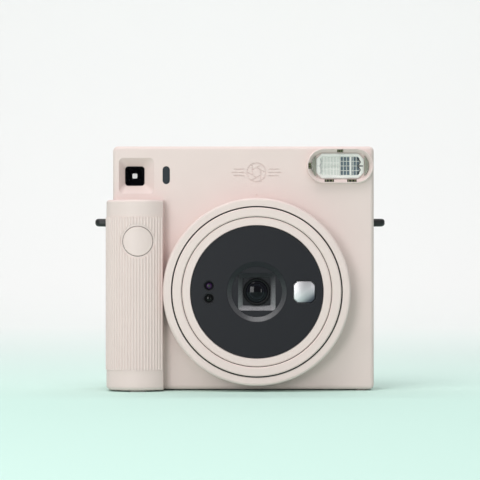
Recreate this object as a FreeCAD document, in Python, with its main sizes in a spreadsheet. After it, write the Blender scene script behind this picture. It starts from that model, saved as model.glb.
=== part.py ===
"""Instant camera for square film, as an assembly of separate pieces.

Frame: +Z up, -Y is the front (the lens side), +X is to the right when the camera is seen from the
front. The origin is the centre of the base, on the surface that the feet stand on. Millimetres.

The grip with the shutter button and the batteries is on the -X side, the power ring and the
two-stage lens barrel are right of centre, the flash is at the top right, and the film chamber with
its hinged back cover is behind the lens. A turn of the power ring drives the lens carrier forward
through three cam pins; the inner barrel pulls out a little further for close-ups.
"""
import FreeCAD, Part
import math
import os

import Sketcher
from FreeCAD import Placement, Rotation, Vector

doc = FreeCAD.newDocument("instant_camera")

# ---------------------------------------------------------------- driving dimensions
# alias: (value in mm or degrees, what it is)
DIMENSIONS = {
    "body_width": (130.7, "tips of the grip's side ribs to the far side, without the strap lugs"),
    "foot_height": (0.6, "feet below the housing"),
    "body_height": (118.6, "housing, without the feet"),
    "shell_left": (-62.0, "left side of the housing above the grip"),
    "panel_front": (-14.25, "Y of the flat front panel"),
    "split_plane": (8.0, "Y of the joint between front and rear housing"),
    "back_face": (24.25, "Y of the rear housing's back"),
    "cover_back": (28.75, "Y of the back cover's outer face"),
    "wall": (2.0, "housing wall"),
    "front_round": (2.0, "round along the front edges"),
    "back_round": (4.0, "round along the back edges"),
    "corner_round": (2.4, "round of the housing's outline corners"),
    "lens_at_x": (8.1, "X of the lens axis"),
    "lens_at_z": (48.3, "Z of the lens axis"),
    "plinth_radius": (45.3, "fixed collar around the power ring"),
    "plinth_front": (-28.1, "Y of the collar's front"),
    "ring_front": (-28.75, "Y of the power ring's front"),
    "ring_radius": (40.7, "power ring, outside"),
    "ring_gap": (0.7, "gap between collar and power ring"),
    "ring_bore": (36.3, "power ring, inside"),
    "sleeve_radius": (38.4, "cam sleeve behind the power ring, outside"),
    "carrier_radius": (36.0, "lens carrier, outside"),
    "carrier_bore": (34.0, "lens carrier, inside"),
    "barrel_radius": (33.8, "inner barrel, outside"),
    "barrel_bore": (32.0, "inner barrel, inside"),
    "carrier_travel": (16.0, "lens carrier, from off to on"),
    "close_up_travel": (4.5, "inner barrel, pulled out for close-ups"),
    "cam_turn": (60.0, "power ring, from off to on, degrees"),
    "pin_radius": (1.5, "cam pin"),
    "cam_clearance": (0.3, "cam slot beyond the pin, each side"),
    "guide_bore": (38.7, "fixed guide tube, inside"),
    "guide_radius": (40.6, "fixed guide tube, outside"),
    "grip_right": (-37.2, "X of the grip's right edge"),
    "grip_top": (92.8, "Z of the grip's top"),
    "grip_front": (-27.9, "Y of the grip's front"),
    "grip_centre": (-49.8, "X of the grip's front curve centre"),
    "grip_curve": (18.5, "radius of the grip's front curve"),
    "grip_corner": (9.0, "radius of the grip's left corner"),
    "grip_wall": (1.8, "grip wall"),
    "rib_low": (10.5, "Z of the ribs' lower ends"),
    "rib_high": (84.4, "Z of the ribs' upper ends"),
    "rib_radius": (0.85, "radius of one rib"),
    "rib_depth": (0.47, "rib's centre below the grip's surface"),
    "rib_pitch": (1.5, "from rib to rib along the surface"),
    "button_at_x": (-49.3, "X of the shutter button"),
    "button_at_z": (72.7, "Z of the shutter button"),
    "button_radius": (7.2, "shutter button"),
    "button_gap": (0.2, "gap round the shutter button"),
    "button_travel": (1.6, "shutter button travel"),
    "finder_at_x": (-51.5, "X of the viewfinder axis"),
    "finder_at_z": (104.8, "Z of the viewfinder axis"),
    "finder_window": (9.6, "side of the viewfinder's front window"),
    "finder_corner": (1.6, "round of the front window's corners"),
    "flash_at_x": (48.8, "X of the flash"),
    "flash_at_z": (109.6, "Z of the flash"),
    "flash_width": (28.4, "flash cover"),
    "flash_height": (13.2, "flash cover"),
    "flash_boss_width": (32.6, "raised rim round the flash"),
    "flash_boss_height": (17.3, "raised rim round the flash"),
    "flash_boss_front": (-16.9, "Y of the raised rim"),
    "flash_slope": (1.45, "width of the sloped ring between the rim and the flash cover"),
    "flash_frame_width": (23.3, "flash reflector's flange"),
    "flash_frame_height": (12.2, "flash reflector's flange"),
    "flash_frame_corner": (2.9, "clipped corners of the flange"),
    "mirror_side": (10.8, "self-portrait mirror"),
    "mirror_corner": (1.9, "clipped corners of the mirror"),
    "mirror_curve": (42.0, "radius of the convex mirror"),
    "seam": (0.3, "groove along the joint between the housings"),
    "sensor_at_x": (-36.0, "X of the light sensor window"),
    "sensor_at_z": (105.1, "Z of the light sensor window"),
    "chamber_width": (80.0, "film chamber, inside"),
    "chamber_low": (6.5, "Z of the film chamber's floor"),
    "chamber_high": (104.0, "Z of the film chamber's ceiling"),
    "chamber_front": (5.6, "Y of the film gate's back"),
    "chamber_back": (22.2, "Y of the film chamber's rear edge"),
    "gate_side": (62.0, "square film gate"),
    "chamber_wall": (2.0, "film chamber wall"),
    "roller_radius": (3.5, "film roller"),
    "roller_shaft": (1.5, "film roller shaft"),
    "film_gap": (0.3, "between the film rollers"),
    "film_plane": (8.2, "Y of the film's path out"),
    "roller_at_z": (111.4, "Z of the film rollers"),
    "slot_width": (74.0, "film exit slot"),
    "hinge_at_x": (59.2, "X of the back cover's hinge"),
    "hinge_at_y": (26.5, "Y of the back cover's hinge"),
    "knuckle_radius": (2.1, "hinge knuckle"),
    "hinge_pin": (1.0, "hinge pin radius"),
    "cover_left": (-39.5, "X of the back cover's left edge"),
    "cover_right": (56.4, "X of the back cover's right edge"),
    "cover_low": (3.4, "Z of the back cover's bottom edge"),
    "cover_high": (107.2, "Z of the back cover's top edge"),
    "cover_wall": (2.2, "back cover wall"),
    "running": (0.05, "radial clearance of a shaft in its hole"),
    "fit_gap": (0.15, "gap between pieces that move past each other"),
    "lug_at_z": (82.2, "Z of the strap lugs"),
    "lug_out": (6.05, "strap lug beyond the full width"),
    "lug_length": (11.0, "strap lug, front to back"),
    "lug_bar": (2.3, "strap lug's bar, seen from above"),
    "lug_height": (3.95, "strap lug's bar, seen from the side"),
    "cell_radius": (7.75, "lithium cell"),
    "cell_length": (27.0, "lithium cell"),
    "cell_at_x": (-54.2, "X of the cells"),
    "cell_at_y": (-6.0, "Y of the cells"),
    "battery_low": (10.5, "Z of the battery cover's bottom edge"),
    "battery_high": (68.4, "Z of the battery cover's top edge"),
    "battery_hinge_at_y": (4.2, "Y of the battery cover's hinge"),
    "blade_thickness": (0.3, "shutter blade"),
    "gear_module": (0.4, "module of the film drive"),
    "gear_width": (2.0, "face width of the film drive's gears"),
    "counter_at_z": (74.0, "Z of the film counter wheel"),
    "counter_radius": (10.5, "film counter wheel"),
}
sheet = doc.addObject("Spreadsheet::Sheet", "dims")
for row, (alias, (number, meaning)) in enumerate(DIMENSIONS.items(), start=1):
    sheet.set(f"A{row}", meaning)
    sheet.set(f"B{row}", str(number))
    sheet.setAlias(f"B{row}", alias)
doc.recompute()


class Size:
    """A number together with the spreadsheet expression that gives it."""

    def __init__(self, value, text):
        self.value, self.text = float(value), text

    def __float__(self):
        return self.value

    def _with(self, other, sign, value, swap=False):
        other = size(other)
        a, b = (other, self) if swap else (self, other)
        return Size(value(a.value, b.value), f"({a.text} {sign} {b.text})")

    def __add__(self, other):
        return self._with(other, "+", lambda a, b: a + b)

    def __radd__(self, other):
        return self._with(other, "+", lambda a, b: a + b, swap=True)

    def __sub__(self, other):
        return self._with(other, "-", lambda a, b: a - b)

    def __rsub__(self, other):
        return self._with(other, "-", lambda a, b: a - b, swap=True)

    def __mul__(self, other):
        return self._with(other, "*", lambda a, b: a * b)

    def __rmul__(self, other):
        return self._with(other, "*", lambda a, b: a * b, swap=True)

    def __truediv__(self, other):
        return self._with(other, "/", lambda a, b: a / b)

    def __neg__(self):
        return 0 - self


def size(x):
    return x if isinstance(x, Size) else Size(x, f"({float(x):.6f})")


def root(x):
    return Size(math.sqrt(float(x)), f"sqrt({size(x).text})")


class Cells:
    """Every cell of the sheet as a Size, by its alias."""

    def __getattr__(self, alias):
        return Size(sheet.get(alias), f"dims.{alias}")


d = Cells()
RIGHT = d.body_width / 2
LEFT = -(RIGHT - (d.rib_radius - d.rib_depth))  # the ribs reach the full width
BASE, TOP = d.foot_height, d.foot_height + d.body_height
INNER_FRONT = d.panel_front + d.wall

# ---------------------------------------------------------------- small modelling tools
NODES = {}
DIRECTIONS = {
    "x": Rotation(Vector(0, 0, 1), Vector(1, 0, 0)),
    "y": Rotation(Vector(0, 0, 1), Vector(0, 1, 0)),
    "z": Rotation(),
}
PLANES = {"xy": "XY_Plane", "xz": "XZ_Plane", "yz": "YZ_Plane"}


def bind(obj, prop, value):
    value = size(value)
    obj.setExpression(prop, value.text)


def place(obj, at, rotation=None):
    if rotation is not None:
        obj.Placement = Placement(Vector(), rotation)
    for axis, value in zip("xyz", at):
        bind(obj, f"Placement.Base.{axis}", value)
    return obj


def publish(obj, label):
    """Names a finished sub-part; its label names its file."""
    obj.Label = label
    NODES[label] = obj
    return obj


def box(name, x, y, z):
    """A block between two X, two Y and two Z values."""
    obj = doc.addObject("Part::Box", name)
    for prop, (low, high) in zip(("Length", "Width", "Height"), (x, y, z)):
        bind(obj, prop, size(high) - low)
    return place(obj, (x[0], y[0], z[0]))


def rod(name, along, radius, at, low, high):
    """A cylinder along x, y or z; at holds its axis's other two coordinates."""
    obj = doc.addObject("Part::Cylinder", name)
    bind(obj, "Radius", radius)
    bind(obj, "Height", size(high) - low)
    corner = list(at)
    corner.insert("xyz".index(along), low)
    return place(obj, corner, DIRECTIONS[along])


def cut(name, base, *tools):
    obj = doc.addObject("Part::Cut", name)
    obj.Base = base
    obj.Tool = tools[0] if len(tools) == 1 else fuse(name + "_tools", *tools)
    return obj


def fuse(name, *parts):
    obj = doc.addObject("Part::MultiFuse", name)
    obj.Shapes = list(parts)
    obj.Refine = True
    return obj


def group(name, *parts):
    """Several separate solids in one node."""
    obj = doc.addObject("Part::Compound", name)
    obj.Links = list(parts)
    return obj


def common(name, *parts):
    obj = doc.addObject("Part::MultiCommon", name)
    obj.Shapes = list(parts)
    return obj


def rounded(base, radius, test, whole=True):
    """Rounds the edges of base whose ends and middle, or only whose middle, pass test."""
    doc.recompute()
    edges = []
    for number, edge in enumerate(base.Shape.Edges, start=1):
        points = [edge.valueAt((edge.FirstParameter + edge.LastParameter) / 2)]
        if whole:
            points += [v.Point for v in edge.Vertexes]
        if all(test(p) for p in points):
            edges.append((number, float(radius), float(radius)))
    if not edges:
        raise ValueError(f"{base.Name}: no edge to round")
    obj = doc.addObject("Part::Fillet", base.Name + "_round")
    obj.Base = base
    obj.Edges = edges
    return obj


def near(a, b, tolerance=0.01):
    return abs(float(a) - float(b)) < tolerance


def plate(name, x, y, z, radius, along="y"):
    """A block whose four edges along one direction are rounded."""
    block = box(name, x, y, z)
    spans = dict(zip("xyz", (x, y, z)))
    across = [axis for axis in "xyz" if axis != along]

    def on_corner(point):
        return all(
            near(getattr(point, a), spans[a][0]) or near(getattr(point, a), spans[a][1])
            for a in across
        )

    return rounded(block, radius, on_corner)


def stadium(name, x, z, width, height, y):
    """A slot-shaped prism along Y, centred at x, z, with full round ends on its long direction."""
    if float(width) > float(height):
        ends = [(x - (width - height) / 2, z), (x + (width - height) / 2, z)]
        middle = box(name + "_mid", (ends[0][0], ends[1][0]), y, (z - height / 2, z + height / 2))
        radius = height / 2
    else:
        ends = [(x, z - (height - width) / 2), (x, z + (height - width) / 2)]
        middle = box(name + "_mid", (x - width / 2, x + width / 2), y, (ends[0][1], ends[1][1]))
        radius = width / 2
    caps = [rod(f"{name}_cap{i}", "y", radius, end, *y) for i, end in enumerate(ends)]
    return fuse(name, middle, *caps)


def sketch_in(body, name, plane, origin=(0, 0, 0)):
    """A sketch on one of the body's own origin planes, its own origin moved to a point."""
    sketch = body.newObject("Sketcher::SketchObject", name)
    support = next(f for f in body.Origin.OriginFeatures if f.Role == PLANES[plane])
    sketch.AttachmentSupport = [(support, "")]
    sketch.MapMode = "FlatFace"
    x, y, z = origin
    local = {"xy": (x, y, z), "xz": (x, z, -size(y)), "yz": (y, z, x)}[plane]
    for axis, value in zip("xyz", local):
        bind(sketch, f"AttachmentOffset.Base.{axis}", value)
    return sketch


def hold(sketch, kind, *args):
    """Adds a constraint whose last argument is a Size, and ties it to the sheet."""
    *where, value = args
    number = sketch.addConstraint(Sketcher.Constraint(kind, *where, float(value)))
    sketch.setExpression(f"Constraints[{number}]", size(value).text)


def outline(sketch, points):
    """A closed straight-sided outline, each corner held by its own two distances."""
    places = [Vector(float(u), float(v), 0) for u, v in points]
    count = len(places)
    first = sketch.GeometryCount
    for i in range(count):
        sketch.addGeometry(Part.LineSegment(places[i], places[(i + 1) % count]), False)
    for i in range(count):
        sketch.addConstraint(
            Sketcher.Constraint("Coincident", first + i, 2, first + (i + 1) % count, 1)
        )
    for i, (u, v) in enumerate(points):
        hold(sketch, "DistanceX", -1, 1, first + i, 1, size(u))
        hold(sketch, "DistanceY", -1, 1, first + i, 1, size(v))


def circle(sketch, u, v, radius):
    number = sketch.addGeometry(
        Part.Circle(Vector(float(u), float(v), 0), Vector(0, 0, 1), float(radius)), False
    )
    hold(sketch, "DistanceX", -1, 1, number, 3, size(u))
    hold(sketch, "DistanceY", -1, 1, number, 3, size(v))
    hold(sketch, "Radius", number, size(radius))


def pad(body, sketch, length, name):
    feature = body.newObject("PartDesign::Pad", name)
    feature.Profile = sketch
    bind(feature, "Length", length)
    return feature


def prism(name, plane, points, low, high):
    """A straight-sided outline extruded between two values along the plane's normal."""
    body = doc.addObject("PartDesign::Body", name)
    normal = {"xy": 2, "xz": 1, "yz": 0}[plane]
    origin = [0, 0, 0]
    origin[normal] = high if plane == "xz" else low
    sketch = sketch_in(body, name + "_outline", plane, origin)
    outline(sketch, points)
    pad(body, sketch, size(high) - low, name + "_pad")
    return body


def turned(name, profile, at=None, along="y"):
    """A piece of revolution. profile is (radius, distance along the axis); at is its axis."""
    body = doc.addObject("PartDesign::Body", name)
    at = at or (d.lens_at_x, d.lens_at_z)
    plane, origin, axis = {
        "y": ("xy", (at[0], 0, at[1]), "V_Axis"),
        "z": ("xz", (at[0], at[1], 0), "V_Axis"),
        "x": ("xy", (0, at[0], at[1]), "H_Axis"),
    }[along]
    sketch = sketch_in(body, name + "_profile", plane, origin)
    outline(sketch, profile if along != "x" else [(v, u) for u, v in profile])
    spin = body.newObject("PartDesign::Revolution", name + "_turn")
    spin.Profile = sketch
    spin.ReferenceAxis = (sketch, [axis])
    spin.Angle = 360
    return body


def ring(name, outer, bore, y, at=None):
    """A plain tube or washer along Y, round the lens axis unless at says otherwise."""
    return turned(name, [(bore, y[0]), (outer, y[0]), (outer, y[1]), (bore, y[1])], at)


def disc(name, radius, y, at=None):
    return turned(name, [(0, y[0]), (radius, y[0]), (radius, y[1]), (0, y[1])], at)


def lens_rod(name, radius, x, z, y):
    """A cylinder along Y, x and z away from the lens axis."""
    return rod(name, "y", radius, (d.lens_at_x + x, d.lens_at_z + z), *y)


def clipped(name, centre, width, height, corner, y):
    """A rectangle with clipped corners, extruded along Y."""
    x, z = centre
    half_w, half_h = width / 2, height / 2
    corners = []
    for right, up in ((1, 1), (-1, 1), (-1, -1), (1, -1)):
        on_side = (x + right * half_w, z + up * (half_h - corner))
        on_level = (x + right * (half_w - corner), z + up * half_h)
        corners += [on_side, on_level] if right * up > 0 else [on_level, on_side]
    return prism(name, "xz", corners, *y)


def seam_groove(name, inner, x, z):
    """A shallow groove round a housing piece, just in front of the joint to the rear housing."""
    y = (d.split_plane - d.seam, d.split_plane + 1)
    return cut(name, box(name + "_band", x, y, z), inner)


# ---------------------------------------------------------------- housings
def housing_block(name, x, y, z, corner, edge, edge_y):
    """A block with rounded outline corners and one rounded face at edge_y."""
    block = plate(name, x, y, z, corner)
    return rounded(block, edge, lambda p: near(p.y, edge_y))


def make_front_housing():
    low_y, high_y = d.panel_front, d.split_plane
    shell = housing_block(
        "front_block", (d.shell_left, RIGHT), (low_y, high_y), (BASE, TOP),
        d.corner_round, d.front_round, low_y,
    )
    grip_bay = box(
        "front_grip_bay", (LEFT - 5, d.grip_right), (low_y - 5, high_y + 5), (BASE - 5, d.grip_top)
    )
    cavity = prism(
        "front_cavity", "xz",
        [
            (d.shell_left + d.wall, d.grip_top + d.wall),
            (d.shell_left + d.wall, TOP - d.wall),
            (RIGHT - d.wall, TOP - d.wall),
            (RIGHT - d.wall, BASE + d.wall),
            (d.grip_right + d.wall, BASE + d.wall),
            (d.grip_right + d.wall, d.grip_top + d.wall),
        ],
        INNER_FRONT, high_y + 5,
    )
    plinth = rounded(
        rod("plinth", "y", d.plinth_radius, (d.lens_at_x, d.lens_at_z), d.plinth_front, low_y + 1),
        1.3, lambda p: near(p.y, d.plinth_front),
    )
    bore = rod("plinth_bore", "y", d.ring_radius + d.ring_gap, (d.lens_at_x, d.lens_at_z),
               d.plinth_front - 5, INNER_FRONT + 5)
    back_relief = ring("plinth_relief", d.plinth_radius - 1.5, d.ring_radius + d.ring_gap + 1.2,
                       (d.plinth_front + 2.4, INNER_FRONT + 0.5))
    flash_boss = rounded(
        stadium("flash_boss", d.flash_at_x, d.flash_at_z, d.flash_boss_width, d.flash_boss_height,
                (d.flash_boss_front, low_y + 1)),
        0.6, lambda p: near(p.y, d.flash_boss_front),
    )
    finder_block = box("finder_block", (d.finder_at_x - 7.5, d.finder_at_x + 9.5),
                       (low_y + 1, low_y + 5.6), (d.finder_at_z - 8.6, d.finder_at_z + 8.6))
    solid = fuse(
        "front_solid", cut("front_hollow", shell, grip_bay, cavity), plinth, flash_boss,
        finder_block, *front_bosses()
    )
    core = plate("front_seam_core", (d.shell_left + d.seam, RIGHT - d.seam), (low_y, high_y + 2),
                 (BASE + d.seam, TOP - d.seam), d.corner_round - d.seam)
    seam = seam_groove("front_seam", core, (d.shell_left - 1, RIGHT + 1), (BASE - 1, TOP + 1))
    tools = [bore, back_relief, finder_funnel(), *flash_pocket(), *sensor_slot(), *front_holes(),
             *relief_mark(), seam]
    return publish(cut("front_housing", solid, *tools), "front_housing")


SCREWS = {  # x, z of the four case screws, and the Y where the front boss of each begins
    "top_left": (-57.4, 114.6, -6.0),
    "top_right": (60.9, 114.6, -2.0),
    "low_right": (60.9, 5.2, -10.0),
    "low_left": (-42.6, 6.2, -10.0),
}
BOSS_RADIUS, THREAD_RADIUS, HEAD_RADIUS = 2.9, 1.05, 2.3


def front_bosses():
    """Screw bosses in the front housing; the fourth one stands in the grip."""
    return [
        rod(f"front_boss_{name}", "y", BOSS_RADIUS, (x, z), start, d.split_plane)
        for name, (x, z, start) in SCREWS.items() if name != "low_left"
    ]


def front_holes():
    """Screw holes, the front half of the film slot, the strap lug's slot and the finder passage."""
    holes = [
        rod(f"front_thread_{name}", "y", THREAD_RADIUS, (x, z), start + 1.5, d.split_plane + 1)
        for name, (x, z, start) in SCREWS.items() if name != "low_left"
    ]
    half = d.slot_width / 2 + 2
    holes.append(box("front_film_slot", (d.lens_at_x - half, d.lens_at_x + half),
                     (d.film_plane - 3, d.split_plane + 1), (TOP - d.wall - 1, TOP + 1)))
    holes.append(lug_slot("right_lug_slot", RIGHT))
    return holes


def lug_slot(name, side):
    """The slot in a side wall that the strap lug's legs pass through."""
    half = d.lug_length / 2
    return box(name, (side - 3.5, side + 3.5), (LUG_AT_Y - half, LUG_AT_Y + half),
               (d.lug_at_z - d.lug_height / 2, d.lug_at_z + d.lug_height / 2))


LUG_AT_Y = size(0.5)


def finder_funnel():
    """Square funnel that narrows from the front panel to the finder window."""
    funnel = doc.addObject("Part::Loft", "finder_funnel")
    half = float(d.finder_window) / 2
    outer = rounded_square("funnel_mouth", (d.finder_at_x - 7.6, d.finder_at_x + 9.6),
                           (d.finder_at_z - 8.8, d.finder_at_z + 8.7), 2.2, d.panel_front - 0.02)
    inner = rounded_square("funnel_throat", (d.finder_at_x - half, d.finder_at_x + half),
                           (d.finder_at_z - half, d.finder_at_z + half), float(d.finder_corner),
                           d.panel_front + 4.0)
    funnel.Sections = [outer, inner]
    funnel.Solid = True
    funnel.Ruled = True
    throat = plate(
        "finder_throat", (d.finder_at_x - half, d.finder_at_x + half),
        (d.panel_front + 3.9, d.panel_front + 8), (d.finder_at_z - half, d.finder_at_z + half),
        float(d.finder_corner),
    )
    return fuse("finder_passage", funnel, throat)


def rounded_square(name, x, z, radius, y):
    """A rounded rectangle's wire in a plane of constant Y."""
    (left, right), (low, high) = [float(v) for v in x], [float(v) for v in z]
    corners = (
        (right - radius, high - radius), (left + radius, high - radius),
        (left + radius, low + radius), (right - radius, low + radius),
    )
    arcs = []
    for number, (cx, cz) in enumerate(corners):
        points = []
        for angle in (90 * number, 90 * number + 45, 90 * number + 90):
            turn = math.radians(angle)
            points.append(
                Vector(cx + radius * math.cos(turn), float(y), cz + radius * math.sin(turn))
            )
        arcs.append(points)
    edges = []
    for number, points in enumerate(arcs):
        following = arcs[(number + 1) % 4][0]
        edges.append(Part.Arc(*points).toShape())
        edges.append(Part.LineSegment(points[2], following).toShape())
    obj = doc.addObject("Part::Feature", name)
    obj.Shape = Part.Wire(edges)
    return obj


def flash_pocket():
    """Sloped ring, the cover's seat, the reflector's clipped hole and the notches for the tabs."""
    x, z = d.flash_at_x, d.flash_at_z
    front = d.flash_boss_front
    sections = []
    for name, grown, y in (
        ("mouth", d.flash_slope, front - 0.02), ("throat", size(0), front + 2.2)
    ):
        half_w, half_h = d.flash_width / 2 + grown, d.flash_height / 2 + grown
        sections.append(rounded_square(
            "flash_" + name, (x - half_w, x + half_w), (z - half_h, z + half_h),
            float(half_h) - 0.01, y,
        ))
    slope = doc.addObject("Part::Loft", "flash_slope")
    slope.Sections = sections
    slope.Solid = True
    slope.Ruled = True
    seat = stadium("flash_seat", x, z, d.flash_width, d.flash_height, (front + 2.1, FLASH_SEAT))
    hole = clipped("flash_hole", (x, z), d.flash_frame_width + 0.2, d.flash_frame_height + 0.2,
                   d.flash_frame_corner, (FLASH_SEAT - 0.1, INNER_FRONT + 1))
    notches = [box(f"flash_notch_{i}", *span) for i, span in enumerate(flash_tabs(front - 0.1))]
    return [slope, seat, hole, *notches]


FLASH_SEAT = d.panel_front + 1.0
TAB_INSIDE, TAB_OUTSIDE = 1.0, 1.35


def flash_tabs(start):
    """The flash cover's four tabs, or the notches for them, as blocks that begin at Y start."""
    y = (start, d.flash_boss_front + 2.6)
    low, high = d.flash_at_z - d.flash_height / 2, d.flash_at_z + d.flash_height / 2
    left = d.flash_at_x - d.flash_width / 2
    above, below = (high - TAB_INSIDE, high + TAB_OUTSIDE), (low - TAB_OUTSIDE, low + TAB_INSIDE)
    return [
        ((d.flash_at_x - 1.5, d.flash_at_x + 1.5), y, above),
        ((d.flash_at_x - 7.6, d.flash_at_x - 3.0), y, below),
        ((d.flash_at_x + 3.4, d.flash_at_x + 8.0), y, below),
        ((left - TAB_OUTSIDE, left + TAB_INSIDE), y, (d.flash_at_z - 1.5, d.flash_at_z + 1.5)),
    ]


def sensor_slot():
    return [
        stadium(
            "sensor_hole", d.sensor_at_x, d.sensor_at_z, 3.6, 8.8,
            (d.panel_front - 1, INNER_FRONT + 1),
        )
    ]


def relief_mark():
    """A shallow aperture emblem between two sets of bars, and the ring's index dot."""
    x, z = d.lens_at_x, size(106.4)
    depth = (d.panel_front - 1, d.panel_front + 0.35)
    tools = [
        turned(
            "emblem_circle",
            [(4.35, depth[0]), (4.85, depth[0]), (4.85, depth[1]), (4.35, depth[1])], (x, z),
        )
    ]
    for blade in range(6):
        line = box(f"emblem_blade_{blade}", (0, 4.6), depth, (-0.22, 0.22))
        angle = math.radians(60 * blade)
        turn = Rotation(Vector(0, 1, 0), -60 * blade + 90)
        start = Vector(1.9 * math.cos(angle), 0, 1.9 * math.sin(angle))
        start += turn.multVec(Vector(-1.1, float(depth[0]), 0))
        line.Placement = Placement(Vector(), turn)
        place(line, (x + start.x, start.y, z + start.z))
        tools.append(line)
    rim = rod("emblem_rim", "y", 4.6, (x, z), *depth)
    blades = common("emblem_blades", fuse("emblem_lines", *tools[1:]), rim)
    bars = []
    for i, side in enumerate((-1, 1)):
        for j, (lift, length) in enumerate(((1.6, 5.2), (0, 6.2), (-1.6, 5.2))):
            near_end, far_end = x + side * 5.9, x + side * (5.9 + length)
            span = (near_end, far_end) if side > 0 else (far_end, near_end)
            bars.append(box(f"emblem_bar_{i}{j}", span, depth, (z + lift - 0.25, z + lift + 0.25)))
    dot = rod("index_dot", "y", 0.55, (x, d.lens_at_z + d.plinth_radius + 1.6), *depth)
    return [tools[0], blades, dot, *bars]


def make_rear_housing():
    low_y, high_y = d.split_plane, d.back_face
    main = housing_block("rear_block", (d.shell_left, RIGHT), (low_y, high_y), (BASE, TOP),
                         d.corner_round, d.back_round, high_y)
    side = housing_block("rear_grip_block", (LEFT, LEFT + 30), (low_y, high_y), (BASE, d.grip_top),
                         d.corner_round, d.back_round, high_y)
    cavity = box(
        "rear_cavity", (d.shell_left + d.wall, RIGHT - d.wall), (low_y - 1, high_y - d.wall),
        (BASE + d.wall, TOP - d.wall),
    )
    side_cavity = box("rear_grip_cavity", (LEFT + d.wall, LEFT + 20), (low_y - 1, high_y - d.wall),
                      (BASE + d.wall, d.grip_top - d.wall))
    bosses, holes = [], []
    for name, (x, z, _) in SCREWS.items():
        bosses.append(rod(f"rear_boss_{name}", "y", BOSS_RADIUS, (x, z), low_y, high_y - 1))
        holes.append(
            rod(f"rear_hole_{name}", "y", THREAD_RADIUS + 0.2, (x, z), low_y - 1, high_y + 1)
        )
        holes.append(
            rod(f"rear_sink_{name}", "y", HEAD_RADIUS + 0.2, (x, z), high_y - 3.0, high_y + 1)
        )
    half = d.chamber_width / 2
    opening = plate(
        "rear_opening", (d.lens_at_x - half, d.lens_at_x + half), (high_y - 3, high_y + 1),
        (d.chamber_low, d.chamber_high), 1.5,
    )
    eyepiece = plate(
        "rear_eyepiece_hole", (d.finder_at_x - 5.5, d.finder_at_x + 5.5), (high_y - 3, high_y + 1),
        (d.finder_at_z - 5.5, d.finder_at_z + 5.5), 1.5,
    )
    counter = plate(
        "rear_counter_hole", (d.finder_at_x - 3, d.finder_at_x + 3), (high_y - 3, high_y + 1),
        (d.counter_at_z + 5, d.counter_at_z + 11), 0.8,
    )
    half_slot = d.slot_width / 2 + 2
    film = box("rear_film_slot", (d.lens_at_x - half_slot, d.lens_at_x + half_slot),
               (low_y - 1, d.film_plane + 3), (TOP - d.wall - 1, TOP + 1))
    catches = [
        box(
            f"catch_slot_{i}", (d.cover_left + 2.1, d.cover_left + 4.7), (high_y - 3, high_y + 1),
            (z - 5.2, z + 2.2),
        )
        for i, z in enumerate(LATCH_HOOKS)
    ]
    knuckles = []
    for i, base in enumerate(HINGE_LOW):
        for j, (low, high) in enumerate(((base, base + 5), (base + 11, base + 16))):
            eye = rod(
                f"rear_knuckle_{i}{j}", "z", d.knuckle_radius, (d.hinge_at_x, d.hinge_at_y), low,
                high,
            )
            leg = box(
                f"rear_leg_{i}{j}", (d.hinge_at_x - 1.2, d.hinge_at_x + 2.1),
                (high_y - 1, d.hinge_at_y), (low, high),
            )
            knuckles += [eye, leg]
        holes.append(
            rod(
                f"rear_pin_hole_{i}", "z", d.hinge_pin, (d.hinge_at_x, d.hinge_at_y), base - 1,
                base + 17,
            )
        )
    axle = rod(
        "counter_axle", "y", 1.0, (d.finder_at_x, d.counter_at_z), high_y - d.wall - 3.0, high_y - 1
    )
    solid = fuse(
        "rear_solid", cut("rear_hollow", fuse("rear_outer", main, side), cavity, side_cavity),
        *bosses, *knuckles, axle,
    )
    return publish(
        cut("rear_housing", solid, *holes, opening, eyepiece, counter, film, *catches),
        "rear_housing",
    )


HINGE_LOW = (14.0, 80.0)
LATCH_HOOKS = (46.0, 64.0)


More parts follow.
